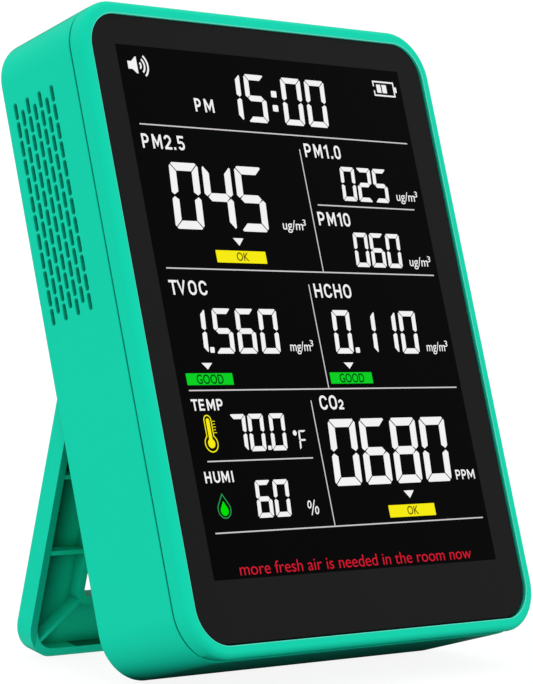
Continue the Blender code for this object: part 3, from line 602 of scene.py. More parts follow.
# ---------------------------------------------------------------- rear shell
REAR_EDGE = 0.2           # round at the parting line
CAVITY_BACK = 23.0
UPPER_BACK = 28.0         # the cavity is deeper above the stand's recess
UPPER_LOW = -2.0
UPPER_INSET = WALL + draft_at(UPPER_BACK)
UPPER_TOP = CASE_H / 2 - WALL - draft_at(UPPER_BACK)
UPPER_X = CASE_W / 2 - WALL - draft_at(UPPER_BACK)
PEG_X, PEG_Z = 35.0, 66.2
RECESS_X, RECESS_TOP, RECESS_BOTTOM = 55.6, -3.8, -71.5
LUG_R = 2.1
SHANK_R, HEAD_R = 1.25, 2.3                  # screw holes
BUTTON_HOLE_R = 3.9
VENT_Y0, VENT_PITCH_Y, VENT_COLS = 12.9, 2.19, 7
VENT_TOP, VENT_PITCH_Z, VENT_ROWS = 58.44, 4.395, 12
VENT_LEN, VENT_W = 3.9, 1.14


def build_shell(mesh):
    start = SPLIT_Y + SPLIT_GAP / 2
    sections = [(start + REAR_EDGE - REAR_EDGE * math.cos(t),
                 case_section(REAR_EDGE - REAR_EDGE * math.sin(t))) for t in quarter(3)]
    sections.append((CASE_D - REAR_FILLET, case_section(DRAFT)))
    sections += [(CASE_D - REAR_FILLET * (1 - math.sin(t)),
                  case_section(DRAFT + REAR_FILLET * (1 - math.cos(t)))) for t in quarter(8)[1:]]
    loft(mesh, sections)


def shell_cavity(mesh):
    loft(mesh, ((3.0, case_section(WALL)),
                (CAVITY_BACK, case_section(WALL + draft_at(CAVITY_BACK)))))


def shell_upper_cavity(mesh):
    outline = rounded_rect(2 * UPPER_X, UPPER_TOP - UPPER_LOW, CORNER_R - UPPER_INSET,
                           z=(UPPER_TOP + UPPER_LOW) / 2, square=(2, 3))
    prism(mesh, outline, 18.0, UPPER_BACK)


def shell_bosses(mesh):
    for side in SIDES:
        turned(mesh, side * TOP_SCREW[0], TOP_SCREW[1], ((22.4, 3.0), (28.3, 3.0)), steps=32)
        turned(mesh, side * LOW_SCREW[0], LOW_SCREW[1], ((17.0, 3.1), (23.3, 3.1)), steps=32)
        turned(mesh, side * PEG_X, PEG_Z, ((23.9, 2.0), (28.3, 2.0)), steps=24)


def shell_recess(mesh):
    """The recess the stand folds into."""
    def outline(grow):
        return rounded_rect(2 * (RECESS_X + grow), RECESS_TOP - RECESS_BOTTOM + 2 * grow,
                            STAND_R + 0.4 + grow, z=(RECESS_TOP + RECESS_BOTTOM) / 2,
                            square=(0, 1))
    loft(mesh, mouth(outline, RECESS_FLOOR, CASE_D, fillet=0.3, beyond=2.0))


def shell_lugs(mesh):
    """Two round-ended lugs that carry the stand."""
    root = RECESS_FLOOR - 1.0
    outline = [(root, PIVOT.z - LUG_R), *arc(PIVOT.y, PIVOT.z, LUG_R, -90, 90),
               (root, PIVOT.z + LUG_R)]
    for side in SIDES:
        prism(mesh, outline, side * (LUG_X - LUG_HALF), side * (LUG_X + LUG_HALF), along_x=True)


def shell_bores(mesh):
    for side in SIDES:
        prism(mesh, circle(PIVOT.y, PIVOT.z, PIN_R + 0.08, 40), side * (LUG_X - LUG_HALF - 1),
              side * (LUG_X + LUG_HALF + 1), along_x=True)


def shell_holes(mesh):
    """Screw holes, blind holes in the pegs and button holes."""
    for side in SIDES:
        x, z = side * TOP_SCREW[0], TOP_SCREW[1]
        shank = circle(x, z, SHANK_R, 40)
        head = mouth(lambda grow: circle(x, z, HEAD_R + grow, 40), 27.2, CASE_D, fillet=0.2)
        loft(mesh, [(21.0, shank), (27.2, shank)] + head)
        turned(mesh, side * LOW_SCREW[0], LOW_SCREW[1],
               ((16.0, SHANK_R), (21.6, SHANK_R), (21.6, HEAD_R), (24.6, HEAD_R),
                (24.8, HEAD_R + 0.2), (26.0, HEAD_R + 0.2)), steps=40)
        turned(mesh, side * PEG_X, PEG_Z, ((23.0, 0.95), (27.4, 0.95)), steps=20)
    for x in BUTTONS.values():
        loft(mesh, mouth(lambda grow: circle(x, BUTTON_Z, BUTTON_HOLE_R + grow, 64),
                         26.0, CASE_D, fillet=0.22))


def shell_vents(mesh):
    """Columns of slots in both sides; odd columns are half a pitch lower and one slot shorter."""
    for side in SIDES:
        for column in range(VENT_COLS):
            y = VENT_Y0 + column * VENT_PITCH_Y
            odd = column % 2
            for row in range(VENT_ROWS - odd):
                z = VENT_TOP - VENT_LEN / 2 - row * VENT_PITCH_Z - odd * VENT_PITCH_Z / 2
                loft(mesh, mouth(lambda grow: stadium(y, z, VENT_LEN, VENT_W, grow),
                                 side * 53.5, side * side_wall(side, y), fillet=0.13, steps=3),
                     along_x=True)


def shell_usb(mesh):
    loft(mesh, mouth(lambda grow: stadium(USB_Y, USB_Z, 10.0, 3.8, grow, steps=14),
                     53.0, side_wall(1, USB_Y), fillet=0.2), along_x=True)


shell = raw("rear_shell_skin", build_shell)
carve(shell, ("DIFFERENCE", shell_cavity), ("DIFFERENCE", shell_upper_cavity),
      ("UNION", shell_bosses), ("DIFFERENCE", shell_recess), ("UNION", shell_lugs),
      ("DIFFERENCE", shell_bores), ("DIFFERENCE", shell_holes), ("DIFFERENCE", shell_vents),
      ("DIFFERENCE", shell_usb))
piece(shell, shell_mat, replaces="rear_shell")

# ---------------------------------------------------------------- stand
STAND_X, STAND_LEN = 55.2, 63.74             # half width, and reach below the hinge line
STAND_T, STAND_OUTER = 4.85, 2.42            # thickness, and y of the face away from the case
STAND_INNER = STAND_OUTER - STAND_T
STAND_RIM, STAND_SKIN = 2.0, 1.35
HEEL = 3.2                # reach above the hinge line
FOOT_CHAMFER = 0.35
WELL_FLOOR = STAND_OUTER - STAND_SKIN
WELL_START = 5.5          # this and the next few are distances below the hinge line
WIN_START, WIN_END = 23.2, 50.0
CROSS_RIB, SIDE_RIB = 20.9, 38.9
WIN_X, WIN_WALL = 40.3, 1.8
RIB_TOP, RIB_T = STAND_INNER + 0.5, 1.0
RIB_END = STAND_X - STAND_RIM + 0.5
CUT = 6.0                 # cutters reach this far to either side of the hinge line


def build_stand(mesh):
    # Open, the heel and the inner face stop on one plane just clear of the recess floor.
    reach = PIVOT.y - RECESS_FLOOR - 0.3
    stop_z = (reach + STAND_INNER * math.cos(OPEN)) / math.sin(OPEN)
    heel_y = (-reach + HEEL * math.sin(OPEN)) / math.cos(OPEN)
    points = [(STAND_OUTER, -STAND_LEN + FOOT_CHAMFER), *arc(0.0, 0.0, STAND_OUTER, 0, 54, 12),
              (0.9, HEEL - 0.35), (0.5, HEEL), (heel_y, HEEL), (STAND_INNER, stop_z),
              (STAND_INNER, -STAND_LEN + FOOT_CHAMFER), (STAND_INNER + FOOT_CHAMFER, -STAND_LEN),
              (STAND_OUTER - FOOT_CHAMFER, -STAND_LEN)]
    prism(mesh, points, -STAND_X, STAND_X, along_x=True)


def stand_corners(mesh):
    """What is cut off to round the two lower corners."""
    corner = [(STAND_X + 1, -STAND_LEN - 1), (STAND_X + 1, -STAND_LEN + STAND_R),
              *arc(STAND_X - STAND_R, -STAND_LEN + STAND_R, STAND_R, 0, -90, 24),
              (STAND_X - STAND_R, -STAND_LEN - 1)]
    for side in SIDES:
        prism(mesh, [(side * x, z) for x, z in corner], -CUT, CUT)


def stand_well(mesh):
    end = STAND_LEN - STAND_RIM
    outline = rounded_rect(2 * (STAND_X - STAND_RIM), end - WELL_START, STAND_R - STAND_RIM,
                           z=-(end + WELL_START) / 2, square=(0, 1))
    prism(mesh, outline, -CUT, WELL_FLOOR)


def stand_window_outline(wall, radius):
    return rounded_rect(2 * (WIN_X + wall), WIN_END - WIN_START + 2 * wall, radius,
                        z=-(WIN_START + WIN_END) / 2, steps=10)


def stand_window_frame(mesh):
    prism(mesh, stand_window_outline(WIN_WALL, 3.0), RIB_TOP, WELL_FLOOR + 0.6)


def stand_cross_rib(mesh):
    box(mesh, (-RIB_END, RIB_END), (RIB_TOP, WELL_FLOOR + 0.5),
        (-CROSS_RIB - RIB_T / 2, -CROSS_RIB + RIB_T / 2))


def stand_side_ribs(mesh):
    for side in SIDES:
        box(mesh, sorted((side * RIB_END, side * (WIN_X + WIN_WALL - 0.5))),
            (RIB_TOP, WELL_FLOOR + 0.4), (-SIDE_RIB - RIB_T / 2, -SIDE_RIB + RIB_T / 2))


def stand_diagonals(mesh):
    """Ribs from the window's lower corners to the stand's."""
    for side in SIDES:
        inner = Vector((side * (WIN_X + 0.9), -WIN_END - 0.9))
        outer = Vector((side * (STAND_X - STAND_RIM - 1.5), -STAND_LEN + STAND_RIM + 1.5))
        run = outer - inner
        across = Vector((-run.y, run.x)).normalized() * RIB_T / 2
        outline = [tuple(p) for p in (inner + across, inner - across, outer - across, outer + across)]
        prism(mesh, outline, RIB_TOP, WELL_FLOOR + 0.3)


def stand_window(mesh):
    prism(mesh, stand_window_outline(0.0, 2.0), -CUT, CUT)


def stand_notches(mesh):
    """Room for the rear shell's lugs."""
    for side in SIDES:
        x_range = sorted((side * (LUG_X - LUG_HALF - 0.4), side * (LUG_X + LUG_HALF + 0.4)))
        box(mesh, x_range, (-CUT, CUT), (-3.3, 6.0))


def stand_bores(mesh):
    for side in SIDES:
        prism(mesh, circle(0.0, 0.0, PIN_R + 0.04, 40), side * 41.2, side * 56.0, along_x=True)


stand = raw("kickstand_skin", build_stand)
carve(stand, ("DIFFERENCE", stand_corners), ("DIFFERENCE", stand_well),
      ("UNION", stand_window_frame), ("UNION", stand_cross_rib), ("UNION", stand_side_ribs),
      ("UNION", stand_diagonals), ("DIFFERENCE", stand_window), ("DIFFERENCE", stand_notches))
bevel(stand, width=0.16, segments=2, angle=40.0)
carve(stand, ("DIFFERENCE", stand_bores))
piece(stand, stand_mat, STAND, "stand", "kickstand")

# ---------------------------------------------------------------- window and display area
PANEL_EDGE = 0.3          # round on the window's front edge
AREA = (-47.5, 46.8, -58.0, 64.8)            # display area: left, right, low, high
AREA_PROUD = 0.008        # how far the area and the lit shapes stand proud of the window
PROUD = 0.022
LAYER = 0.06              # thickness of a printed layer


def build_window(mesh):
    def outline(inset):
        return rounded_rect(OPEN_W - 0.3 - 2 * inset, OPEN_H - 0.5 - 2 * inset,
                            OPEN_R - 0.25 - inset, x=0.07)
    sections = [(PANEL_FRONT + PANEL_EDGE * (1 - math.cos(t)),
                 outline(PANEL_EDGE * (1 - math.sin(t)))) for t in quarter(5)]
    loft(mesh, sections + [(PANEL_BACK, outline(0.0))])


def slab(mesh, outline, proud=PROUD, edge=0.006):
    """A thin printed layer with a broken front edge."""
    middle_x = sum(p[0] for p in outline) / len(outline)
    middle_z = sum(p[1] for p in outline) / len(outline)
    inner = []
    for x, z in outline:
        part = min(0.2, edge / max(0.05, math.hypot(x - middle_x, z - middle_z)))
        inner.append((x + (middle_x - x) * part, z + (middle_z - z) * part))
    front = PANEL_FRONT - proud
    loft(mesh, ((front, inner), (front + 0.004, outline), (front + LAYER, outline)))


def build_area(mesh):
    left, right, low, high = AREA
    slab(mesh, rounded_rect(right - left, high - low, 0.25, (left + right) / 2, (low + high) / 2,
                            steps=4), AREA_PROUD)


piece(raw("window_panel_skin", build_window), window_mat, replaces="window_panel")
piece(raw("display_area", build_area), display_mat, weighted=False)

# ---------------------------------------------------------------- ways to draw on the display
SLANT = 0.091             # digits lean right by this much of their height
# Seven segments: a top, b and c right, d bottom, e and f left, g middle.
SEGMENTS = {"F": "afge", "0": "abcdef", "1": "bc", "2": "abged", "4": "fgbc", "5": "afgcd",
            "6": "afgedc", "7": "abc", "8": "abcdefg"}


def digit(mesh, char, x, z, width, height, post, beam, gap):
    """A seven-segment digit from its lower left corner; post and beam are the stroke widths."""
    mitre, parting, middle = 0.42 * post, gap / math.sqrt(2), height / 2
    far, near = (mitre + parting) / 2, (mitre - parting) / 2
    top_in = height - beam
    bar_in = 0.07 * post
    shapes = {
        "a": [(mitre, height), (width - mitre, height), (width - far, height - near),
              (width - post - parting, top_in), (post + parting, top_in), (far, height - near)],
        "f": [(0, height - mitre), (near, height - far), (post, top_in - parting),
              (post, middle + 0.46 * post), (0.38 * post, middle + 0.09 * post + 0.02),
              (0, middle + 0.40 * post)],
        "g": [(0.54 * post, middle), (post + bar_in, middle + beam / 2),
              (width - post - bar_in, middle + beam / 2), (width - 0.54 * post, middle),
              (width - post - bar_in, middle - beam / 2), (post + bar_in, middle - beam / 2)],
    }
    shapes["b"] = [(width - u, v) for u, v in shapes["f"]]
    shapes["d"] = [(u, height - v) for u, v in shapes["a"]]
    shapes["e"] = [(u, height - v) for u, v in shapes["f"]]
    shapes["c"] = [(width - u, height - v) for u, v in shapes["f"]]
    for name in SEGMENTS[char]:
        slab(mesh, [(x + u + SLANT * v, z + v) for u, v in shapes[name]])


def point(mesh, left, right, low, high):
    """A decimal point or half a colon, leaning like the digits."""
    lean = SLANT * (high - low)
    outline = rounded_rect(right - left, high - low, 0.16 * (right - left), (left + right) / 2,
                           (low + high) / 2, steps=4)
    slab(mesh, [(x + SLANT * (z - low) - lean / 2, z) for x, z in outline])


def stroke(mesh, path, width, closed=False):
    """A line of even width through (x, z) points, with mitred bends and square ends."""
    points = [Vector(p) for p in path]
    count = len(points)
    left, right = [], []
    for i, here in enumerate(points):
        back = here - (points[i - 1] if closed or i else here)
        on = (points[(i + 1) % count] if closed or i < count - 1 else here) - here
        arriving = back.normalized() if back.length > 1e-9 else on.normalized()
        leaving = on.normalized() if on.length > 1e-9 else arriving
        along = (arriving + leaving).normalized()
        mitre = 1 / max(0.5, along.dot(arriving))
        offset = Vector((-along.y, along.x)) * width / 2 * mitre
        left.append(here + offset)
        right.append(here - offset)
    if not closed:
        slab(mesh, [tuple(p) for p in left + right[::-1]][::-1], edge=0.0)
        return
    front = PANEL_FRONT - PROUD
    front_left, front_right, back_left, back_right = [
        [mesh.verts.new((p[0], y, p[1])) for p in side]
        for y in (front, front + LAYER) for side in (left, right)]
    for i in range(count):
        j = (i + 1) % count
        mesh.faces.new((front_left[i], front_left[j], front_right[j], front_right[i]))
        mesh.faces.new((back_left[j], back_left[i], back_right[i], back_right[j]))
        mesh.faces.new((front_left[j], front_left[i], back_left[i], back_left[j]))
        mesh.faces.new((front_right[i], front_right[j], back_right[j], back_right[i]))


def drop_outline(x, z, radius, tip):
    """A water drop: a circle with a pointed top."""
    angle = math.degrees(math.acos(radius / (tip - z)))
    return arc(x, z, radius, 90 + angle, 450 - angle, 40) + [(x, tip)]


def bar(mesh, left, right, low, high):
    slab(mesh, rounded_rect(right - left, high - low, 0.12, (left + right) / 2, (low + high) / 2,
                            steps=3), PROUD - 0.006)


def glyphs(mesh, string, left, right, base, cap, weight, slant=0.0):
    """Blender's own font, stretched from left to right with capitals from base to cap."""
    curve = bpy.data.curves.new("letters", "FONT")
    curve.size, curve.offset, curve.extrude, curve.resolution_u = 1.0, weight, 0.5, 8
    holder = bpy.data.objects.new("letters", curve)
    bpy.context.scene.collection.objects.link(holder)
    found = []
    for body in (string, "H"):
        curve.body = body
        found.append(evaluated_mesh(holder))
    text, capital = found
    across = [vert.co.x for vert in text.vertices]
    upwards = [vert.co.y for vert in capital.vertices]
    start, foot = min(across), min(upwards)
    scale_x = (right - left) / (max(across) - start)
    scale_z = (cap - base) / (max(upwards) - foot)
    front = PANEL_FRONT - PROUD
    part = bmesh.new()
    part.from_mesh(text)
    for vert in part.verts:
        x, y, depth = vert.co
        vert.co = Vector((left + (x - start) * scale_x + slant * (y - foot) * scale_z,
                          front if depth > 0 else front + LAYER, base + (y - foot) * scale_z))
    bmesh.ops.remove_doubles(part, verts=part.verts, dist=1e-4)
    done = bpy.data.meshes.new("letters")
    part.to_mesh(done)
    part.free()
    mesh.from_mesh(done)
    bpy.data.objects.remove(holder)
    bpy.data.curves.remove(curve)
    for data in (text, capital, done):
        bpy.data.meshes.remove(data)


def letter(char, width, line):
    """Centre lines of a plain upright letter one unit high, drawn with a line that wide."""
    left, right, low, high, mid = line / 2, width - line / 2, line / 2, 1 - line / 2, width / 2
    radius = (width - line) / 2
    upper, lower = high - radius, low + radius     # centres of the round ends
    left_post, right_post = [(left, 0), (left, 1)], [(right, 0), (right, 1)]
    top_bar = [(left, high), (width, high)]
    oval = [arc(mid, upper, radius, 0, 180, 16) + arc(mid, lower, radius, 180, 360, 16)]
    waist = 0.43
    bowl = (high - waist) / 2
    return {
        "P": [left_post, [(left, high), (right - bowl, high)]
              + arc(right - bowl, waist + bowl, bowl, 90, -90, 16)[1:] + [(left, waist)]],
        "M": [left_post, right_post,
              [(left + 0.1 * line, 0.95), (mid, 0.27), (right - 0.1 * line, 0.95)]],
        "2": [arc(mid, upper, radius, 172, -38) + [(left + 0.1 * line, low + 0.2 * line)],
              [(0, low), (width, low)]],
        "5": [[(left, high), (width - 0.1 * line, high)], [(left, 1), (left, 0.46)],
              [(left, 0.5)] + arc(mid, low + radius * 1.08, radius * 1.08, 118, -155, 22)],
        "1": [right_post, [(0.12 * line, 0.73), (right, 0.93)]],
        "0": oval,
        "O": oval,
        "C": [arc(mid, upper, radius, 12, 180, 16) + arc(mid, lower, radius, 180, 348, 16)],
        "T": [[(0, high), (width, high)], [(mid, 0), (mid, 1)]],
        "V": [[(0.52 * line, 1), (mid, 0.75 * line), (width - 0.52 * line, 1)]],
        "H": [left_post, right_post, [(left, 0.5), (right, 0.5)]],
        "E": [left_post, top_bar, [(left, 0.5), (width - 0.2 * line, 0.5)],
              [(left, low), (width, low)]],
        "U": [[(left, 1)] + arc(mid, lower, radius, 180, 360, 16) + [(right, 1)]],
        "I": [[(mid, 0), (mid, 1)]],
    }[char]


def label(mesh, base, cap, line, cells):
    """Letters of even stroke; cells are (letter, left, right)."""
    size = cap - base
    for char, left, right in cells:
        if char == ".":
            slab(mesh, rect(left, right, base, base + right - left))
            continue
        for path in letter(char, (right - left) / size, line / size):
            stroke(mesh, [(left + x * size, base + z * size) for x, z in path], line,
                   closed=char in "0O")


# ---------------------------------------------------------------- what the display shows
# Digits, left edge of each, base, width, height, post, beam, gap
NUMBERS = (
    ("045", (-39.17, -28.87, -18.5), 21.8, 9.0, 15.7, 2.05, 1.95, 0.25),
    ("0680", (-3.67, 6.76, 17.2, 27.65), -38.4, 9.02, 15.7, 2.08, 1.93, 0.25),
    ("1560", (-42.13, -33.86, -26.59, -19.25), -7.1, 5.97, 10.5, 1.36, 1.3, 0.2),
    ("0110", (5.2, 13.83, 21.13, 28.35), -7.1, 5.97, 10.5, 1.36, 1.3, 0.2),
    ("1500", (-17.35, -9.2, 3.05, 11.2), 48.6, 6.75, 11.8, 1.5, 1.4, 0.2),
    ("025", (18.06, 23.68, 29.36), 30.5, 4.93, 8.5, 1.13, 1.08, 0.16),
    ("060", (18.06, 23.72, 29.42), 14.15, 4.93, 8.5, 1.13, 1.08, 0.16),
    ("700", (-34.35, -28.71, -21.96), -29.62, 4.92, 8.57, 1.15, 1.13, 0.16),
    ("60", (-30.32, -24.71), -44.77, 4.92, 8.52, 1.15, 1.11, 0.16),
)
# Left, right, low, high
POINTS = (
    (-35.6, -34.25, -6.9, -5.6), (12.0, 13.4, -6.9, -5.6), (-23.2, -22.14, -29.43, -28.45),
    (0.1, 1.9, 55.2, 56.8), (-0.2, 1.6, 51.7, 53.3),
)
RULE_HALF = 0.15
# Left, right, z
LEVEL_RULES = (
    (-44.5, 45.1, 46.1), (-44.5, 45.1, 12.55), (-44.5, 45.1, -15.5), (-44.5, 45.1, -47.65),
    (8.7, 42.8, 29.1), (-42.9, -9.4, -31.6),
)
# x, low, high
UPRIGHT_RULES = ((6.15, 12.7, 42.7), (0.3, -15.3, 9.5), (-6.45, -47.5, -18.2))
# Left, right, top, tip
MARKERS = (
    (-21.75, -18.4, 20.1, 18.3), (-39.1, -35.8, -9.25, -10.75), (7.0, 10.3, -9.25, -10.75),
    (18.9, 22.4, -40.2, -42.0),
)
# Base, cap height, line width, (letter, left, right) cells
LABELS = (
    (40.46, 43.86, 0.55, (("P", -44.72, -42.56), ("M", -41.5, -38.6), ("2", -37.85, -35.66),
                          (".", -35.06, -34.46), ("5", -33.68, -31.64))),
    (40.86, 44.25, 0.55, (("P", 7.8, 10.04), ("M", 11.0, 13.78), ("1", 14.55, 15.86),
                          (".", 16.7, 17.35), ("0", 18.02, 20.14))),
    (24.07, 27.4, 0.55, (("P", 7.9, 10.14), ("M", 11.04, 13.86), ("1", 14.68, 15.93),
                         ("0", 16.6, 18.86))),
    (6.39, 9.79, 0.55, (("T", -44.64, -42.25), ("V", -42.2, -39.6), ("O", -38.82, -36.32),
                        ("C", -35.54, -32.98))),
    (6.36, 9.75, 0.55, (("H", 1.78, 4.36), ("C", 5.14, 7.71), ("H", 8.4, 10.93),
                        ("O", 11.68, 14.3))),
    (-20.1, -17.5, 0.46, (("T", -44.57, -42.66), ("E", -42.3, -40.64), ("M", -39.86, -37.43),
                          ("P", -36.8, -34.95))),
    (-36.43, -33.86, 0.46, (("H", -44.6, -42.64), ("U", -41.93, -39.93), ("M", -39.43, -37.07),
                            ("I", -36.4, -35.8))),
    (-20.43, -17.04, 0.55, (("C", -3.72, -1.12), ("O", -0.54, 2.02))),
    (-20.43, -18.06, 0.46, (("2", 2.48, 4.16),)),
    (50.12, 53.34, 0.55, (("P", -25.9, -23.9), ("M", -22.84, -19.84))),
    (-38.12, -35.78, 0.4, (("P", 38.42, 40.12), ("P", 40.55, 42.2), ("M", 42.65, 45.2))),
)
# Text, left, right, base
UNITS = (
    ("ug/m", -4.62, 3.35, 22.68), ("ug/m", 37.1, 44.95, 31.2), ("ug/m", 37.1, 44.95, 14.75),
    ("mg/m", -9.95, -2.05, -6.5), ("mg/m", 37.1, 44.95, -6.5),
)
UNIT_SLANT = 0.1
BAR_TEXT_WEIGHT = 0.014


def build_digits(mesh):
    for digits, lefts, base, *sizes in NUMBERS:
        for char, x in zip(digits, lefts):
            digit(mesh, char, x, base, *sizes)
    for row in POINTS:
        point(mesh, *row)


def build_rules(mesh):
    rules = [(left, right, z - RULE_HALF, z + RULE_HALF) for left, right, z in LEVEL_RULES]
    rules += [(x - RULE_HALF, x + RULE_HALF, low, high) for x, low, high in UPRIGHT_RULES]
    for rule in rules:
        slab(mesh, rect(*rule), PROUD - 0.002, edge=0.001)


def build_speaker(mesh):
    slab(mesh, [(-44.7, 59.1), (-43.5, 59.1), (-42.3, 58.15), (-41.85, 58.1), (-41.85, 62.15),
                (-42.2, 62.1), (-43.5, 60.95), (-44.7, 60.95)])
    for radius in (0.85, 1.95, 3.0):
        stroke(mesh, arc(-41.55, 60.05, radius, -52, 52), 0.5)


def build_battery(mesh):
    left, right, low, high = 36.95, 44.15, 58.15, 61.65
    stroke(mesh, [(left, 60.4), (left, high), (right, high), (right, low), (left, low),
                  (left, 59.35)], 0.4)
    for row in ((37.95, 39.45, 58.85, 60.95), (39.9, 41.5, 58.85, 60.95), (44.4, 45.1, 59.2, 60.6)):
        slab(mesh, rect(*row))


def build_markers(mesh):
    """Small triangles that point down at the bars."""
    for left, right, top, tip in MARKERS:
        slab(mesh, [(left, top), ((left + right) / 2, tip), (right, top)])


def build_thermometer(mesh):
    x, bulb_z, tube_z = -40.56, -27.55, -22.25
    bulb_r, tube_r, column_r = 1.92, 1.06, 0.52
    angle = math.degrees(math.asin(tube_r / bulb_r))
    outline = arc(x, bulb_z, bulb_r, 90 + angle, 450 - angle, 40) + arc(x, tube_z, tube_r, 0, 180)
    stroke(mesh, outline, 0.28, closed=True)
    slab(mesh, arc(x, bulb_z, 1.1, 0, 345, 23))
    slab(mesh, [(x - column_r, -27.2), (x + column_r, -27.2)]
         + arc(x, tube_z - 0.1, column_r, 0, 180, 10))
    for k in range(5):
        z = -22.55 - 0.65 * k
        length = 0.85 if k % 2 == 0 else 0.7
        slab(mesh, rect(x + 1.35, x + 1.35 + length, z - 0.08, z + 0.08), edge=0.0)


def build_drop_outline(mesh):
    stroke(mesh, drop_outline(-40.4, -42.45, 1.93, tip=-39.0), 0.26, closed=True)


def build_drop(mesh):
    slab(mesh, drop_outline(-40.4, -42.7, 1.18, tip=-40.5))


def build_yellow_bars(mesh):
    bar(mesh, -28.1, -12.1, 14.2, 17.1)
    bar(mesh, 12.6, 28.6, -46.4, -43.5)


def build_green_bars(mesh):
    bar(mesh, -44.6, -30.2, -14.3, -11.6)
    bar(mesh, 1.5, 15.8, -14.3, -11.6)


def build_labels(mesh):
    for row in LABELS:
        label(mesh, *row)
    # The F of the temperature, the two rings and slash of a per cent sign, and a degree dot.
    digit(mesh, "F", -12.98, -29.65, width=2.46, height=4.55, post=0.5, beam=0.42, gap=0.14)
    half_w, half_h = 0.5, 0.78
    for x, z in ((-13.47, -42.31), (-11.34, -43.72)):
        angles = [math.radians(15 * k) for k in range(24)]
        stroke(mesh, [(x + half_w * math.cos(a) + 0.14 * half_h * math.sin(a),
                       z + half_h * math.sin(a)) for a in angles], 0.32, closed=True)
    stroke(mesh, [(-13.25, -44.8), (-11.62, -41.28)], 0.28)
    slab(mesh, arc(-13.78, -25.7, 0.62, 0, 345, 23))


def build_units(mesh):
    for text, left, right, base in UNITS:
        glyphs(mesh, text, left, right - 1.25, base, base + 2.28, weight=0.003, slant=UNIT_SLANT)
        glyphs(mesh, "3", right - 1.15, right - 0.1, base + 1.12, base + 2.6, weight=0.006,
               slant=UNIT_SLANT)


def build_message(mesh):
    glyphs(mesh, "more fresh air is needed in the room now", -39.2, 38.2, -57.25, -54.55,
           weight=-0.004)


def build_ok(mesh):
    glyphs(mesh, "OK", -21.65, -17.75, 14.7, 16.7, BAR_TEXT_WEIGHT)
    glyphs(mesh, "OK", 18.85, 22.75, -45.95, -43.9, BAR_TEXT_WEIGHT)


def build_good(mesh):
    glyphs(mesh, "GOOD", -41.5, -33.2, -14.05, -11.9, BAR_TEXT_WEIGHT)
    glyphs(mesh, "GOOD", 4.6, 12.95, -14.05, -11.9, BAR_TEXT_WEIGHT)


for name, build, material in (
        ("digits", build_digits, white_lit),
        ("rules", build_rules, rule_lit),
        ("speaker", build_speaker, white_lit),
        ("battery", build_battery, white_lit),
        ("markers", build_markers, white_lit),
        ("thermometer", build_thermometer, yellow_lit),
        ("drop_outline", build_drop_outline, drop_line_lit),
        ("drop", build_drop, drop_lit),
        ("yellow_bars", build_yellow_bars, yellow_lit),
        ("green_bars", build_green_bars, green_lit),
        ("labels", build_labels, white_lit),
        ("units", build_units, white_lit),
        ("message", build_message, red_lit),
        ("bar_words_ok", build_ok, olive),
        ("bar_words_good", build_good, dark_green)):
    piece(raw("display_" + name, build), material, weighted=False)

# ---------------------------------------------------------------- buttons with dished tops
CAP_R, CAP_ROUND, CAP_Y = 3.6, 0.35, 30.9    # CAP_Y is the rear end of the cap
DISH_R, DISH_DEPTH = 3.0, 0.22
BUTTON_FLANGE = ((26.65, 4.7), (26.75, 4.8), (27.6, 4.8), (27.7, 4.7), (27.7, 3.6))   # (y, radius)


def build_button(mesh, x):
    start = CAP_Y - CAP_ROUND
    profile = [*BUTTON_FLANGE, (start, CAP_R)]
    profile += [(start + CAP_ROUND * math.sin(t), CAP_R - CAP_ROUND + CAP_ROUND * math.cos(t))
                for t in quarter(6)[1:]]
    profile += [(CAP_Y - DISH_DEPTH * (1 - (radius / DISH_R) ** 2), radius)
                for radius in (3.0, 2.5, 2.0, 1.5, 1.0, 0.5, 0.15)]
    turned(mesh, x, BUTTON_Z, profile, steps=64)


for name, x in BUTTONS.items():
    piece(raw(name + "_cap", lambda mesh: build_button(mesh, x)), button_mat,
          body=name, replaces=name)

# ---------------------------------------------------------------- screws seen from behind
# Place, y under the head, y of the tip
SCREWS = ((TOP_SCREW, 27.3, 12.0), (LOW_SCREW, 21.7, 7.0))
SCREW_PLACES = [(side * x, z, head, tip) for (x, z), head, tip in SCREWS for side in SIDES]
SCREW_ROUND = 0.65
CROSS = ((0.95, 0.2), (0.2, 0.2), (0.2, 0.95), (-0.2, 0.95), (-0.2, 0.2), (-0.95, 0.2),
         (-0.95, -0.2), (-0.2, -0.2), (-0.2, -0.95), (0.2, -0.95), (0.2, -0.2), (0.95, -0.2))


def build_screw(mesh, x, z, head, tip):
    profile = [(tip, 0.3), (tip + 0.8, 0.85), (head, 0.85), (head, 1.9), (head + 0.1, 2.0),
               (head + 0.75, 2.0)]
    profile += [(head + 0.75 + SCREW_ROUND * math.sin(t), 1.35 + SCREW_ROUND * math.cos(t))
                for t in quarter(6)[1:]]
    turned(mesh, x, z, profile)


def screw_cross(mesh, x, z, head):
    """The cross recess, wider towards the back."""
    loft(mesh, [(y, [(x + across * scale, z + up * scale) for across, up in CROSS])
                for y, scale in ((head + 0.7, 0.8), (head + 2.5, 1.1))])


for number, (x, z, head, tip) in enumerate(SCREW_PLACES, 1):
    screw = raw("case_screw_%d_fine" % number, lambda mesh: build_screw(mesh, x, z, head, tip))
    carve(screw, ("DIFFERENCE", lambda mesh: screw_cross(mesh, x, z, head)))
    piece(screw, steel_mat, replaces="case_screw_%d" % number)


# ---------------------------------------------------------------- charging socket
def socket_outline(length, width):
    return stadium(USB_Y, USB_Z, length, width, steps=14)


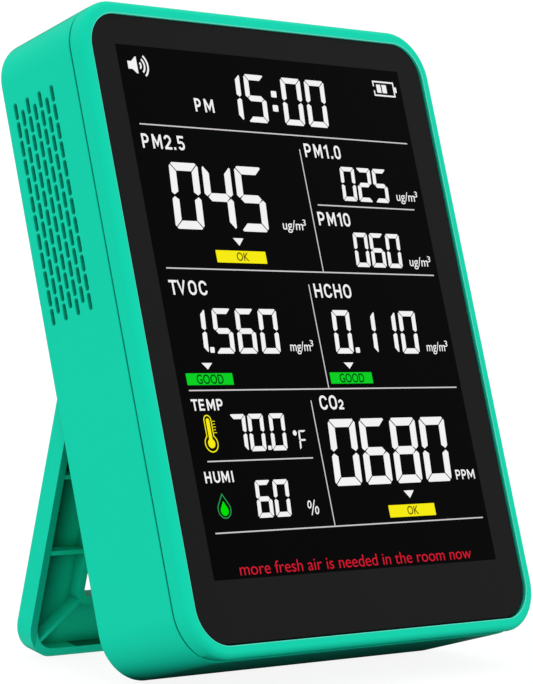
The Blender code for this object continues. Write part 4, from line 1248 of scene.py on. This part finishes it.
def build_socket(mesh):
    outer, inner, lip = (socket_outline(*size) for size in ((8.8, 3.0), (8.2, 2.4), (8.5, 2.7)))
    loft(mesh, ((50.0, inner), (56.45, inner), (56.6, lip), (56.45, outer), (48.6, outer),
                (48.6, inner)), along_x=True, closed=True)
    prism(mesh, socket_outline(8.0, 2.2), 48.8, 49.9, along_x=True)


def build_tongue(mesh):
    full = rect(15.05, 15.75, -46.0, -40.0)
    tip = rect(15.2, 15.6, -45.85, -40.15)
    # The outlines run the other way round, from the low front corner along y.
    full, tip = ([outline[i] for i in range(4)] for outline in (full, tip))
    loft(mesh, ((49.9, full), (55.2, full), (55.4, tip)), along_x=True)


piece(raw("usb_socket_shell", build_socket), steel_mat, replaces="usb_socket")
piece(raw("usb_socket_tongue", build_tongue), SLOTS["chip_package"])

# ---------------------------------------------------------------- finish of the CAD nodes that stay
for name, node in frame["nodes"].items():
    if node.hide_render:
        continue
    finish = SLOTS.get(node_slots.get(name), SLOTS["frame_plastic"])
    node.data.materials.clear()
    node.data.materials.append(screen_mat if name.startswith("vent_screen") else finish)

# ---------------------------------------------------------------- floor
FLOOR_GLOW = 0.90         # how bright the floor is to the camera, before the light it catches
BOUNCE_FADE = 6.0         # mm over which the floor's light on the object recovers
BOUNCE_FAR, BOUNCE_NEAR = 0.88, 0.03         # that light away from the object and under it
# Footprint in metres: axis, centre, half size
FOOTPRINT = (("X", 0.0, cad_high[0] - 0.0050), ("Y", cad_low[1] + 0.0198, 0.0248))


def floor_material():
    tree = Material("pale_floor")
    seen = tree.node("ShaderNodeLightPath").outputs["Is Camera Ray"]
    # What the camera sees: a pale sheet with a soft contact shadow.
    glow = tree.node("ShaderNodeEmission", {"Color": WHITE, "Strength": FLOOR_GLOW})
    tone = tree.mix(tree.noise(scale=3.0), (0.13, 0.13, 0.13, 1), (0.14, 0.14, 0.14, 1))
    soft = tree.node("ShaderNodeBsdfDiffuse", {"Color": tone})
    both = tree.node("ShaderNodeAddShader", {0: glow.outputs[0], 1: soft.outputs[0]})
    # What lights the object from below: the sheet, dark under the object and bright away from it.
    where = tree.separate(tree.node("ShaderNodeNewGeometry").outputs["Position"])
    away = []
    for axis, centre, reach in FOOTPRINT:
        offset = tree.math("ABSOLUTE", tree.math("SUBTRACT", where[axis], centre))
        away.append(tree.math("MAXIMUM", tree.math("SUBTRACT", offset, reach), 0.0))
    squares = [tree.math("MULTIPLY", part, part) for part in away]
    distance = tree.math("SQRT", tree.math("ADD", *squares))
    fade = tree.math("EXPONENT", tree.math("MULTIPLY", distance, -1000.0 / BOUNCE_FADE))
    shadow = tree.math("MULTIPLY", fade, BOUNCE_FAR - BOUNCE_NEAR)
    bounce = tree.node("ShaderNodeEmission", {
        "Color": WHITE, "Strength": tree.math("SUBTRACT", BOUNCE_FAR, shadow)})
    pick = tree.node("ShaderNodeMixShader", {0: seen, 1: bounce.outputs[0], 2: both.outputs[0]})
    tree.put(tree.node_tree.nodes["Material Output"].inputs["Surface"], pick.outputs[0])
    return tree.material


floor = raw("floor", lambda mesh: bmesh.ops.create_grid(mesh, x_segments=2, y_segments=2, size=6.0))
floor.location = (0, 0, -0.00035)
floor.data.materials.append(floor_material())

# ---------------------------------------------------------------- light
TENT_LOW, TENT_HIGH = 0.60, 1.45             # the tent of light at the horizon and overhead
BACKDROP = (1.05, 1.05, 1.05, 1)             # what the camera sees of it

world = bpy.data.worlds.new("studio")
bpy.context.scene.world = world
tree = Nodes(world)
from_camera = tree.node("ShaderNodeLightPath").outputs["Is Camera Ray"]
height = tree.separate(tree.node("ShaderNodeTexCoord").outputs["Generated"])["Z"]
tent = tree.remap(height, (0.0, 1.0), to=(TENT_LOW, TENT_HIGH))
background = world.node_tree.nodes["Background"]
tree.put(background.inputs["Color"], tree.mix(from_camera, tent, BACKDROP))
tree.put(background.inputs["Strength"], 1.0)

# ---------------------------------------------------------------- camera
# Place (mm) and directions in the case's frame.
EYE = Vector((-497.84167042, -455.52030758, -129.15818615))
RIGHT = Vector((0.70129039, -0.68860361, -0.18443659))
DOWN = Vector((0.00258345, 0.26117518, -0.96528796))
AHEAD = Vector((0.71287104, 0.67647069, 0.18493862))

camera_data = bpy.data.cameras.new("camera")
camera = bpy.data.objects.new("camera", camera_data)
bpy.context.scene.collection.objects.link(camera)
facing = TURN.to_3x3() @ Matrix((RIGHT, -DOWN, -AHEAD)).transposed()
camera.matrix_world = Matrix.Translation(CASE @ EYE) @ facing.to_4x4()
camera_data.sensor_fit = "AUTO"
camera_data.sensor_width = 36.0
camera_data.lens = 156.39473684
camera_data.shift_x, camera_data.shift_y = -0.00043859649, 0.00058479532
camera_data.clip_start, camera_data.clip_end = 0.01, 50.0
bpy.context.scene.camera = camera

settings = bpy.context.scene.view_settings
settings.view_transform = "Standard"
settings.look = "None"
settings.exposure, settings.gamma = 0.0, 1.0
